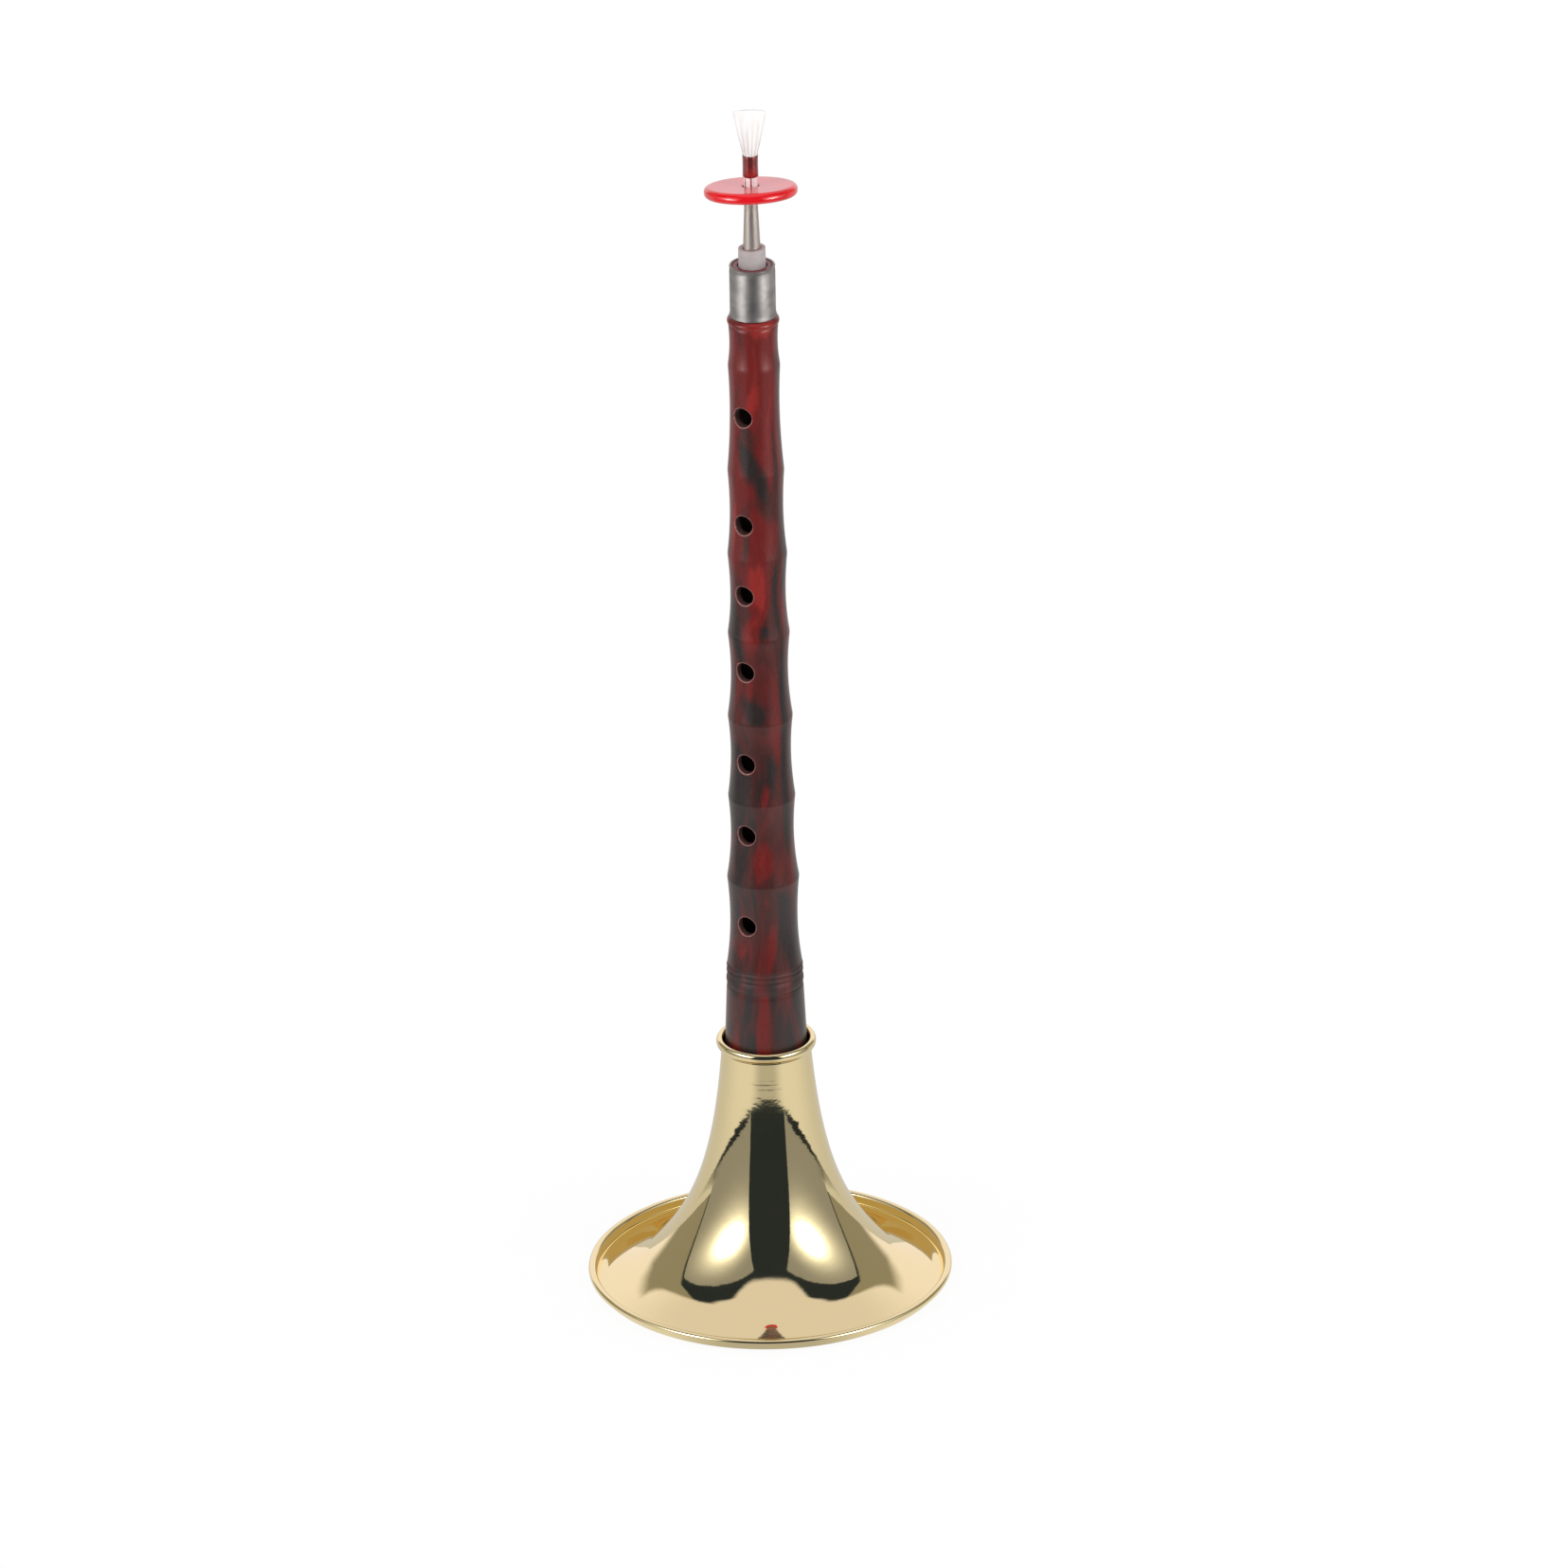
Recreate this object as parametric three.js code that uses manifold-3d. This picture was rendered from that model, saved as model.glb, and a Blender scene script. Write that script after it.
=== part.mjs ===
// A suona: a conical double-reed pipe with bamboo-like nodes, standing on its spun brass bell.
// Millimetres, +Z up. The origin is the centre of the bell's mouth, on the surface that it stands on.
// The finger holes face -Y. Each piece is drawn in its own frame, foot at zero, and placed at the end.
import * as THREE from "three";
import { mergeVertices } from "three/addons/utils/BufferGeometryUtils.js";
import Module from "manifold-3d";

// Clearances, and how far a cutter runs past what it cuts
const seatGap = 0.3;
const thinGap = 0.15;
const overrun = 2;

// Facets round the axis, and steps along each curve; the flare's steps crowd towards its foot
const bellFacets = 52;
const pipeFacets = 32;
const smallFacets = 28;
const holeFacets = 24;
const flareSteps = 10;
const flareCrowding = 1.6;
const dishSteps = 4;
const beadSteps = 6;
const beadStartSteps = 3;
const filletSteps = 2;
const waistSteps = 3;
const ringSteps = 4;
const bladeSteps = 6;

// Bell: spun sheet with a rolled bead at each end, and a flat ring under the mouth to stand on
const mouthDiameter = 115;
const bellHeight = 83.2;
const bellWall = 0.8;
const rimBeadDiameter = 2.4;
const rimHeight = 4.3;
const landWidth = 2;
const dishWidth = 10.3;
const dishDepth = 4.7;
const collarBeadDiameter = 2.35;
const collarLength = 4.9;
const flarePower = 5.3;
const flareShiftShare = 1.9;
const beadStart = -110;

// Pipe: a body with seven nodes, three turned rings and a plain cone to the foot, and a tenon on top
const bodyLength = 259.2;
const footDepth = 14.9;
const footDiameter = 27;
const footChamfer = 0.5;
const topNodeDiameter = 16.2;
const ringDiameter = 23.6;
const coneTopDiameter = 24.1;
const neckDiameter = 14.9;
const neckTopDiameter = 15.4;
const shoulderBeadDiameter = 16.2;
const shoulderBeadHeight = 2.9;
const shoulderBeadEnd = -45;
const tenonLength = 16.1;
const tenonDiameter = 12.6;
const tenonChamfer = 0.4;
const boreTopDiameter = 8.6;
const boreFootDiameter = 18.5;
const fingerHoleDiameter = 6.2;
const narrowRingWidth = 1.7;
const wideRingWidth = 3.9;
const ringGroove = 0.3;
const ringCrest = 0.15;

// Nodes and waists down the body: the place as a share of its length below the shoulder,
// and the girth as a share of the way from the top node's to the rings'
const nodeShares = [
  [0.0625, 0],
  [0.198, 0.19],
  [0.306, 0.32],
  [0.409, 0.42],
  [0.517, 0.55],
  [0.622, 0.65],
  [0.729, 0.86],
  [0.843, 1],
];
const waistShares = [
  [0.111, -0.11],
  [0.246, 0.05],
  [0.357, 0.135],
  [0.457, 0.215],
  [0.563, 0.35],
  [0.667, 0.47],
  [0.782, 0.665],
];
const neckPlaceShare = 0.033;
const fingerHolePlaceShares = [0.122, 0.26, 0.351, 0.45, 0.57, 0.663, 0.782];
const thumbHolePlaceShare = 0.163;

// Ferrule: a drawn metal tube round the tenon, with a turned foot and a rounded lip
const ferruleLength = 16.75;
const ferruleWall = 0.5;
const ferruleFootWidth = 0.25;
const ferruleFootHeight = 1.4;

// Staple: the metal cone that carries the reed, thinner where the reed grips it
const stapleLength = 48.75;
const stapleDepth = 13.6;
const stapleConeLength = 32.8;
const stapleFootDiameter = 7;
const stapleShankDiameter = 4.3;
const stapleWall = 0.35;
const nippleLength = 5.4;
const nippleDiameter = 2.8;

// Soft sleeve that seals the staple in the pipe's socket
const sleeveLength = 18;
const sleeveDepth = 11.6;
const sleeveTopDiameter = 8.4;
const sleeveFootDiameter = 8.9;

// Lip disc: loose on the staple, a drop below its tip, held by the tilt that it hangs at
const discDiameter = 28.8;
const discThickness = 3.4;
const discDrop = 10.2;
const discSlack = 0.5;
const discLean = 10.2;
const discLeanHeading = 39.8;

// Reed: one tube pressed flat at the tip, gripped by a lacquered collar
const reedLength = 21.5;
const reedWall = 0.3;
const bladeWidth = 10.1;
const bladeThickness = 1;
const bladeNeckDiameter = 4.4;
const bladeSpread = 1.25;
const collarHeight = 6.8;
const collarWall = 0.45;
const collarWaist = 0.05;
const reedHeading = 32;

// Finishes
const brass = { color: 0xdccb94, metalness: 1, roughness: 0.2 };
const resin = { color: 0x6e2c28, metalness: 0, roughness: 0.35 };
const satinNickel = { color: 0xa6a4a2, metalness: 1, roughness: 0.4 };
const brightNickel = { color: 0xc8c2bc, metalness: 1, roughness: 0.2 };
const greySilicone = { color: 0xb4aaaa, metalness: 0, roughness: 0.6 };
const redPlastic = { color: 0xe3202a, metalness: 0, roughness: 0.15 };
const redLacquer = { color: 0x6e2c2e, metalness: 0, roughness: 0.25 };
const milkyFilm = { color: 0xf2efec, metalness: 0, roughness: 0.5 };

const wasm = await Module();
wasm.setup();

const rad = THREE.MathUtils.degToRad;
const lerp = THREE.MathUtils.lerp;
const point = (radius, height) => new THREE.Vector2(radius, height);

// Points on a circle in the profile plane, both ends included
function arc(center, radius, fromDegrees, toDegrees, steps) {
  return Array.from({ length: steps + 1 }, (_, i) => {
    const angle = rad(lerp(fromDegrees, toDegrees, i / steps));
    return point(
      center.x + radius * Math.cos(angle),
      center.y + radius * Math.sin(angle),
    );
  });
}

// A closed profile turned round the Z axis; the profile runs up the outside and down the inside
function revolve(profile, facets) {
  const closed = [...profile, profile[0].clone()];
  const geometry = new THREE.LatheGeometry(closed, facets);
  return geometry.rotateX(Math.PI / 2);
}

// A curve moved sideways by a wall's thickness, towards the axis
function offsetInwards(curve, wall) {
  return curve.map((here, i) => {
    const before = curve[Math.max(i - 1, 0)];
    const after = curve[Math.min(i + 1, curve.length - 1)];
    const along = after.clone().sub(before).normalize();
    return point(here.x - along.y * wall, here.y + along.x * wall);
  });
}

function toSolid(geometry) {
  const bare = geometry.clone();
  bare.deleteAttribute("normal");
  bare.deleteAttribute("uv");
  const merged = mergeVertices(bare);
  return new wasm.Manifold(
    new wasm.Mesh({
      numProp: 3,
      vertProperties: merged.attributes.position.array,
      triVerts: new Uint32Array(merged.index.array),
    }),
  );
}

function toGeometry(solid) {
  const mesh = solid.getMesh();
  return new THREE.BufferGeometry()
    .setAttribute("position", new THREE.BufferAttribute(mesh.vertProperties, 3))
    .setIndex(new THREE.BufferAttribute(mesh.triVerts, 1));
}

function piece(name, geometry, finish) {
  geometry.computeVertexNormals();
  const mesh = new THREE.Mesh(
    geometry,
    new THREE.MeshStandardMaterial(finish),
  );
  mesh.name = name;
  return mesh;
}

// The height in the pipe's frame of a place given as a share of its body's length below the shoulder
const pipeHeight = (placeShare) => bodyLength * (1 - placeShare);

const ringWidths = [narrowRingWidth, narrowRingWidth, wideRingWidth];
const ringsHeight = ringWidths.reduce((sum, width) => sum + width);
const ringsTop = pipeHeight(nodeShares[nodeShares.length - 1][0]);
const coneTop = ringsTop - ringsHeight;

// The plain cone's radius at a height above the foot, and what the bell's neck takes from it
const coneRadius = (height) =>
  lerp(footDiameter, coneTopDiameter, height / coneTop) / 2;
const neckInnerRadius = coneRadius(footDepth - collarLength) + seatGap;
const neckRadius = neckInnerRadius + bellWall;

// The flare: a horn whose radius grows as a negative power of the height
function flareRadius(share, dishStart) {
  const grow = (s) => Math.pow(s + flareShiftShare, -flarePower);
  const part = (grow(share) - grow(1)) / (grow(0) - grow(1));
  return neckRadius + (dishStart - neckRadius) * part;
}

// The bell's outer side from the flat ring under the mouth up to the neck
function bellSide(landInner) {
  const dishStart = landInner - dishWidth;
  const flareFoot = bellWall + dishDepth;
  const flareTop = bellHeight - collarLength;
  const flare = Array.from({ length: flareSteps + 1 }, (_, i) => {
    const share = Math.pow(i / flareSteps, flareCrowding);
    return point(flareRadius(share, dishStart), lerp(flareFoot, flareTop, share));
  });
  const slope = flare[1].clone().sub(flare[0]);
  const dish = new THREE.QuadraticBezierCurve(
    point(landInner, bellWall),
    point(dishStart - (slope.x / slope.y) * dishDepth, bellWall),
    flare[0],
  ).getPoints(dishSteps);
  return [...dish.slice(0, -1), ...flare];
}

// A rolled edge, from where it leaves the sheet, round its outermost point, to its inner side
function rolledEdge(center, radius) {
  return [
    ...arc(center, radius, beadStart, 0, beadStartSteps).slice(0, -1),
    ...arc(center, radius, 0, 180, beadSteps),
  ];
}

function bellGeometry() {
  const rimRadius = rimBeadDiameter / 2;
  const rimCenter = point(mouthDiameter / 2 - rimRadius, rimHeight - rimRadius);
  const landOuter = rimCenter.x - rimRadius - bellWall;
  const landInner = landOuter - landWidth;
  const side = bellSide(landInner);
  const inner = offsetInwards(side, bellWall);
  inner[0].set(landInner, 0);
  inner[inner.length - 1].set(neckInnerRadius, bellHeight - collarLength);
  const collarRadius = collarBeadDiameter / 2;
  const collarCenter = point(
    neckInnerRadius + collarRadius,
    bellHeight - collarRadius,
  );
  const curl = point(landOuter, 2 * bellWall);
  return revolve(
    [
      ...inner.reverse(),
      ...arc(curl, 2 * bellWall, -90, 0, filletSteps),
      ...rolledEdge(rimCenter, rimRadius),
      ...arc(curl, bellWall, 0, -90, filletSteps),
      ...side,
      ...rolledEdge(collarCenter, collarRadius),
    ],
    bellFacets,
  );
}

// The girth of the body at a node or waist, from its share
const bodyRadius = (girthShare) =>
  lerp(topNodeDiameter, ringDiameter, girthShare) / 2;

// A hollow between two ridges: a parabola from each ridge down to the waist
function scotia(top, waist, foot) {
  const side = (ridge, share) =>
    point(
      waist.x + (ridge.x - waist.x) * share * share,
      waist.y + (ridge.y - waist.y) * share,
    );
  const shares = Array.from({ length: waistSteps }, (_, i) => i / waistSteps);
  return [
    ...shares.toReversed().map((share) => side(top, share)),
    ...shares.slice(1).map((share) => side(foot, share)),
    foot,
  ];
}

// A turned ring: one half wave that rises from a groove and falls into the next
function turnedRing(top, width) {
  return Array.from({ length: ringSteps + 1 }, (_, i) => {
    const share = i / ringSteps;
    const height = top - width * share;
    const below = (ringsTop - height) / ringsHeight;
    const rise = (ringGroove + ringCrest) * Math.sin(Math.PI * share);
    return point(
      lerp(ringDiameter, coneTopDiameter, below) / 2 - ringGroove + rise,
      height,
    );
  });
}

// The pipe's outside, from the shoulder bead down to the foot
function pipeOutside() {
  const beadRadius = shoulderBeadHeight / 2;
  const beadCenter = point(
    shoulderBeadDiameter / 2 - beadRadius,
    bodyLength - beadRadius,
  );
  const neckTop = point(neckTopDiameter / 2, bodyLength - shoulderBeadHeight);
  const neck = point(neckDiameter / 2, pipeHeight(neckPlaceShare));
  const nodes = nodeShares.map(([place, girth]) =>
    point(bodyRadius(girth), pipeHeight(place)),
  );
  const waists = waistShares.map(([place, girth]) =>
    point(bodyRadius(girth), pipeHeight(place)),
  );
  const outside = [
    ...arc(beadCenter, beadRadius, 90, shoulderBeadEnd, beadSteps / 2),
    neckTop,
    ...scotia(neckTop, neck, nodes[0]),
  ];
  waists.forEach((waist, i) =>
    outside.push(...scotia(nodes[i], waist, nodes[i + 1])),
  );
  let top = ringsTop;
  for (const width of ringWidths) {
    const ring = turnedRing(top, width);
    outside.push(...(top < ringsTop ? ring.slice(1) : ring));
    top -= width;
  }
  outside.push(point(coneRadius(coneTop), coneTop));
  outside.push(point(coneRadius(footChamfer), footChamfer));
  outside.push(point(coneRadius(0) - footChamfer, 0));
  return outside;
}

// The bore, from the foot up to the socket that takes the staple's sleeve
function pipeInside() {
  const socketRadius = sleeveFootDiameter / 2 + seatGap;
  const top = bodyLength + tenonLength;
  const socketFloor = top - sleeveDepth - seatGap;
  return [
    point(boreFootDiameter / 2, 0),
    point(boreTopDiameter / 2, socketFloor),
    point(socketRadius, socketFloor),
    point(socketRadius, top),
  ];
}

// A cutter for one hole, from the pipe's axis out through its front (-1) or back (1) wall
function holeCutter(placeShare, side) {
  const reach = footDiameter / 2 + overrun;
  const radius = fingerHoleDiameter / 2;
  const cutter = new THREE.CylinderGeometry(radius, radius, reach, holeFacets);
  cutter.translate(0, (side * reach) / 2, pipeHeight(placeShare));
  return toSolid(cutter);
}

function pipeGeometry() {
  const tenon = tenonDiameter / 2;
  const top = bodyLength + tenonLength;
  const blank = revolve(
    [
      ...pipeOutside().reverse(),
      point(tenon, bodyLength),
      point(tenon, top - tenonChamfer),
      point(tenon - tenonChamfer, top),
      ...pipeInside().reverse(),
    ],
    pipeFacets,
  );
  let solid = toSolid(blank);
  for (const share of fingerHolePlaceShares)
    solid = solid.subtract(holeCutter(share, -1));
  return toGeometry(solid.subtract(holeCutter(thumbHolePlaceShare, 1)));
}

function ferruleGeometry() {
  const inner = tenonDiameter / 2 + seatGap;
  const outer = inner + ferruleWall;
  const foot = outer + ferruleFootWidth;
  const lip = ferruleWall / 2;
  return revolve(
    [
      point(inner, 0),
      point(foot, 0),
      point(foot, ferruleFootWidth),
      point(outer, ferruleFootHeight),
      ...arc(point(inner + lip, ferruleLength - lip), lip, 0, 180, beadSteps / 2),
    ],
    smallFacets,
  );
}

// The staple's outer radius at a height above its foot, below the reed's seat
const stapleRadius = (height) =>
  lerp(
    stapleFootDiameter,
    stapleShankDiameter,
    Math.min(height / stapleConeLength, 1),
  ) / 2;

function stapleGeometry() {
  const step = stapleLength - nippleLength;
  const nipple = nippleDiameter / 2;
  const shank = stapleRadius(step);
  return revolve(
    [
      point(stapleRadius(0) - stapleWall, 0),
      point(stapleRadius(0), 0),
      point(stapleRadius(stapleConeLength), stapleConeLength),
      point(shank, step),
      point(nipple, step),
      point(nipple, stapleLength),
      point(nipple - stapleWall, stapleLength),
      point(nipple - stapleWall, step - stapleWall),
      point(shank - stapleWall, stapleConeLength),
    ],
    smallFacets,
  );
}

// The sleeve follows the staple's cone inside and swells a little towards its foot
function sleeveGeometry() {
  const foot = stapleDepth - sleeveDepth;
  const innerAt = (height) => stapleRadius(foot + height) + thinGap;
  return revolve(
    [
      point(innerAt(0), 0),
      point(sleeveFootDiameter / 2, 0),
      point(sleeveTopDiameter / 2, sleeveLength),
      point(innerAt(sleeveLength), sleeveLength),
    ],
    smallFacets,
  );
}

const discHeight = stapleLength - discDrop;

// A flat disc with a fully rounded edge, centred on its own middle
function discGeometry() {
  const nose = discThickness / 2;
  const hole = stapleRadius(discHeight) + discSlack;
  return revolve(
    [
      point(hole, -nose),
      ...arc(point(discDiameter / 2 - nose, 0), nose, -90, 90, beadSteps),
      point(hole, nose),
    ],
    pipeFacets,
  );
}

function collarGeometry() {
  const inner = nippleDiameter / 2 + thinGap + reedWall + thinGap;
  const outer = inner + collarWall;
  return revolve(
    [
      point(inner, 0),
      point(outer, 0),
      point(outer - collarWaist, collarHeight / 2),
      point(outer, collarHeight),
      point(inner, collarHeight),
    ],
    smallFacets,
  );
}

// The reed's sections from its seat to its tip: height, half width and half thickness outside
function reedSections() {
  const tube = nippleDiameter / 2 + thinGap + reedWall;
  const bladeFoot = collarHeight + thinGap;
  const bladeLength = reedLength - bladeFoot;
  const sections = [
    [0, tube, tube],
    [collarHeight, tube, tube],
  ];
  for (let i = 0; i <= bladeSteps; i++) {
    const share = i / bladeSteps;
    const spread = 1 - Math.pow(1 - share, bladeSpread);
    sections.push([
      bladeFoot + bladeLength * share,
      lerp(bladeNeckDiameter, bladeWidth, spread) / 2,
      lerp(bladeNeckDiameter, bladeThickness, share) / 2,
    ]);
  }
  return sections;
}

// A tube through the sections, skinned outside and inside and closed by a rim at each end
function reedGeometry() {
  const sections = reedSections();
  const rings = [
    ...sections,
    ...sections
      .toReversed()
      .map(([height, across, thick]) => [
        height,
        across - reedWall,
        thick - reedWall,
      ]),
  ];
  const positions = rings.flatMap(([height, across, thick]) =>
    Array.from({ length: smallFacets }, (_, i) => {
      const angle = (2 * Math.PI * i) / smallFacets;
      return [across * Math.cos(angle), thick * Math.sin(angle), height];
    }).flat(),
  );
  const index = [];
  rings.forEach((_, ring) => {
    const below = ring * smallFacets;
    const above = ((ring + 1) % rings.length) * smallFacets;
    for (let i = 0; i < smallFacets; i++) {
      const next = (i + 1) % smallFacets;
      index.push(below + i, below + next, above + next);
      index.push(below + i, above + next, above + i);
    }
  });
  return new THREE.BufferGeometry()
    .setAttribute("position", new THREE.Float32BufferAttribute(positions, 3))
    .setIndex(index);
}

// A group that stands at a height and holds what is fixed there
function at(height, ...children) {
  const group = new THREE.Group();
  group.position.z = height;
  return group.add(...children);
}

const bell = piece("bell", bellGeometry(), brass);
const pipe = piece("pipe", pipeGeometry(), resin);
const ferrule = piece("top_ferrule", ferruleGeometry(), satinNickel);
const staple = piece("staple", stapleGeometry(), brightNickel);
const sleeve = piece("staple_sleeve", sleeveGeometry(), greySilicone);
const disc = piece("lip_disc", discGeometry(), redPlastic);
const collar = piece("reed_collar", collarGeometry(), redLacquer);
const reed = piece("reed", reedGeometry(), milkyFilm);

// The disc's raised side and the reed's flat side each face a heading, counted from -Y towards +X
disc.rotation.set(-rad(discLean), 0, rad(discLeanHeading), "ZYX");
reed.rotation.z = rad(reedHeading);

const reedGroup = at(stapleLength - nippleLength + thinGap, reed, collar);
const stapleGroup = at(
  bodyLength + tenonLength - stapleDepth,
  staple,
  at(stapleDepth - sleeveDepth, sleeve),
  at(discHeight, disc),
  reedGroup,
);
const pipeGroup = at(
  bellHeight - footDepth,
  pipe,
  at(bodyLength + thinGap, ferrule),
  stapleGroup,
);
const suona = new THREE.Group().add(bell, pipeGroup);

export default suona;
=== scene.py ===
"""A suona: a marbled double-reed pipe standing on its spun brass bell, in a small white studio.

Metres, +Z up the pipe. The origin is the centre of the bell's mouth, on the surface it stands on.
The finger holes face -Y. Run as a script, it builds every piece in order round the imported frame.
"""

import math

import bmesh
import bpy
from bpy.props import FloatProperty, FloatVectorProperty, PointerProperty
from mathutils import Matrix, Vector


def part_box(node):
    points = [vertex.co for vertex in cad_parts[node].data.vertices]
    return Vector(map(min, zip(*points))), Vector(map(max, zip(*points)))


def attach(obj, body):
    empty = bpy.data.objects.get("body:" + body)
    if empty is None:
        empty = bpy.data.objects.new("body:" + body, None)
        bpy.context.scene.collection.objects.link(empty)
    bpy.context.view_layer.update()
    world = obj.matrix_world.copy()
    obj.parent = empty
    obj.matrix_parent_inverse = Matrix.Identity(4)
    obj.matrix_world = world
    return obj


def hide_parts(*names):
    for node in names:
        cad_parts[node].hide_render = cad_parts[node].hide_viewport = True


bl_info = {
    "name": "Suona",
    "version": (1, 0, 0),
    "blender": (4, 5, 0),
    "location": "3D View > Sidebar > Suona",
    "description": "Builds a suona piece by piece, with its finishes and a small studio",
    "category": "Add Mesh",
}

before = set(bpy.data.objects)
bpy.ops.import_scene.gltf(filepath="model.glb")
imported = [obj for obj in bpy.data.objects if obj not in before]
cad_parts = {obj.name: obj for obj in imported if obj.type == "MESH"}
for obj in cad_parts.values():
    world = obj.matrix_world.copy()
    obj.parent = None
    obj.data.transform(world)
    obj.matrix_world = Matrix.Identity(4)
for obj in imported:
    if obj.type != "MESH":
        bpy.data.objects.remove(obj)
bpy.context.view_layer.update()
MM = 0.001

# Places down the pipe, as shares of its body's length below the shoulder, and the girth there
# as a share of the way from the top node's to the rings'
NODE_SHARES = (
    (0.0625, 0), (0.198, 0.19), (0.306, 0.32), (0.409, 0.42),
    (0.517, 0.55), (0.622, 0.65), (0.729, 0.86), (0.843, 1),
)
WAIST_SHARES = (
    (0.111, -0.11), (0.246, 0.05), (0.357, 0.135), (0.457, 0.215),
    (0.563, 0.35), (0.667, 0.47), (0.782, 0.665),
)
NECK_PLACE_SHARE = 0.033
FINGER_HOLE_SHARES = (0.122, 0.26, 0.351, 0.45, 0.57, 0.663, 0.782)
THUMB_HOLE_SHARE = 0.163

# Room between the bell and the pipe, and between the thin pieces at the top
SEAT_GAP = 0.3 * MM
THIN_GAP = 0.15 * MM

# Segments round the axis, and steps along each curve; edges sharper than this are kept
BELL_SEGMENTS = 240
PIPE_SEGMENTS = 96
SMALL_SEGMENTS = 72
FLARE_STEPS = 60
DISH_STEPS = 20
BEAD_STEPS = 24
CURL_STEPS = 6
EDGE_STEPS = 4
COLLAR_STEPS = 8
BLADE_STEPS = 40
SHARP_ANGLE = 32
REED_SHARP_ANGLE = 50

# The bell's outline: how its rows crowd towards the flare's foot, the Bezier handles that ease
# this foot into the dish, and where a rolled edge leaves the sheet, in degrees
FLARE_CROWDING = 1.6
FLARE_HANDLE = 0.23
DISH_HANDLE = 0.444
DISH_SLOPE = math.radians(18)
BEAD_START = -110

# The groove under the neck's roll, from the roll's foot
GROOVE_TOP = 0.1 * MM
GROOVE_FOOT = -0.9 * MM
GROOVE_STEPS = (0.4, 0.7, 1)

# Rows of points down the pipe: even round a hole, close at a ridge and on the rings; and where
# the shoulder's bead starts, in degrees
HOLE_ROW_STEP = 0.6 * MM
RIDGE_ROW_STEP = 0.15 * MM
RING_ROW_STEP = 0.1 * MM
PLAIN_ROW_STEP = 1.2 * MM
RIDGE_REACH = 1.5 * MM
SHOULDER_BEAD_START = -50

# The first ridge is worn round, and the lowest is still crisp; samples on each side of a point
TOP_RIDGE_ROUNDING = 0.9 * MM
LOW_RIDGE_ROUNDING = 0.25 * MM
ROUNDING_SAMPLES = 3

# The window of the pipe's mesh that bends round a hole: half the opening's size in rows and
# columns, and the rings of points round the opening; then what counts as the same row
HOLE_ROWS = 4
HOLE_COLUMNS = 9
WINDOW_RINGS = 5
ROW_SLACK = 0.01

# The ferrule's foot, as shares of how far it stands out and of its height, the groove under its
# lip, in millimetres inside its side and below its mouth, and its lip's arc in degrees
FERRULE_BEVEL = 0.1 * MM
FERRULE_FOOT = ((1, 0.3), (0.3, 0.62), (0, 1))
FERRULE_GROOVE = ((0, 1.75), (0.05, 1.6), (0.2, 1.35), (0.2, 1.15), (0.1, 0.85))
FERRULE_LIP_ARC = (-30, 230)
FERRULE_LIP_DEPTH = 1.1 * MM

# Rounding of the sleeve's edges, and where its cut end is lowest
SLEEVE_ROUNDING = 0.2 * MM
SLEEVE_CUT_HEADING = math.radians(-150)

# The lip disc: the edge of its hole, how its faces fall away from it, and its swelled side
DISC_HOLE_EDGE = 0.4 * MM
DISC_FALL = 0.12 * MM
DISC_FALL_STEPS = (0.3, 0.6, 0.9)
DISC_SIDE_POWER = 2.6
DISC_SWELL_POWER = 0.8

# The reed's collar, a little slimmer at its middle, with rounded ends
COLLAR_WAIST = 0.05 * MM
COLLAR_ROUNDING = 0.15 * MM

# The reed's blade: how it spreads, how flat its oval is, how many pleats cross it, how they grow
# from its foot and fade towards its tip, and the most of its thickness that they take
SPREAD_POWER = 1.25
OVAL_POWER = 0.85
PLEATS = 2.5
PLEAT_FOOT = 0.35
PLEAT_GROWTH = 6
PLEAT_FADE = 1.2
PLEAT_MOST = 0.5
CROWN_POWER = 4

# Painted shade that greys the film: how it fades from the folds towards the tip, and how much lies
# on its two edges
FOLD_SHADE_FADE = 1.6
EDGE_SHADE = 0.2
EDGE_POWER = 6

# Where the photograph was taken from, and what lies where in it
PHOTO_SIDE = 1655
BELL_PIXEL = (813, 1334)
BELL_POINT_HEIGHT = 3.1 * MM
PIXELS_PER_METRE = 3330
SENSOR = 36
CAMERA_DISTANCE = 4.45
CAMERA_HEADING = math.radians(32)
CAMERA_ELEVATION = math.radians(26)
CAMERA_ROLL = math.radians(1)

# The right-hand softbox as the bell sees it: its distance in metres, and, in degrees beside the
# camera and above the table, its middle, its corners, and the lamp's glow behind the cloth with
# how far it spreads; the lamp itself is a share of the glow's size and this many times as bright
SOFTBOX_DISTANCE = 0.65
SOFTBOX_FACING = (64, 10)
SOFTBOX_CORNERS = ((46, -38), (105, -38), (101, 35), (21, 46))
GLOW = (53, 28)
GLOW_SPREAD = (24, 11)
LAMP_SHARE = 0.42
LAMP_TIMES = 7

# The lamps that light surfaces: degrees beside the camera and above the table, distance and
# size in metres, and the height up the pipe that they aim at
LAMP_PLACE = (52, 35)
LAMP_DISTANCE = 1.2
LAMP_SIZE = 0.6
LAMP_AIM = 0.17

# The table: half its width, how far it lies under the bell, how far in front of the bell the
# paper on it ends, and then the table itself; the edges are blurred a little
TABLE_HALF = 3
TABLE_DROP = 0.2 * MM
PAPER_REACH = 0.33
TABLE_REACH = 0.38
TABLE_BLUR = 0.003

# Where the bell's shadow fades out on the table, how far behind the bell the paper is whole, and
# the degrees beside the camera between which the bare strip of table beyond the paper widens
SHADOW_REACH = (0.06, 0.13)
WHOLE_PAPER = 0.25
STRIP_SIDES = (30, 55)

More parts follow.
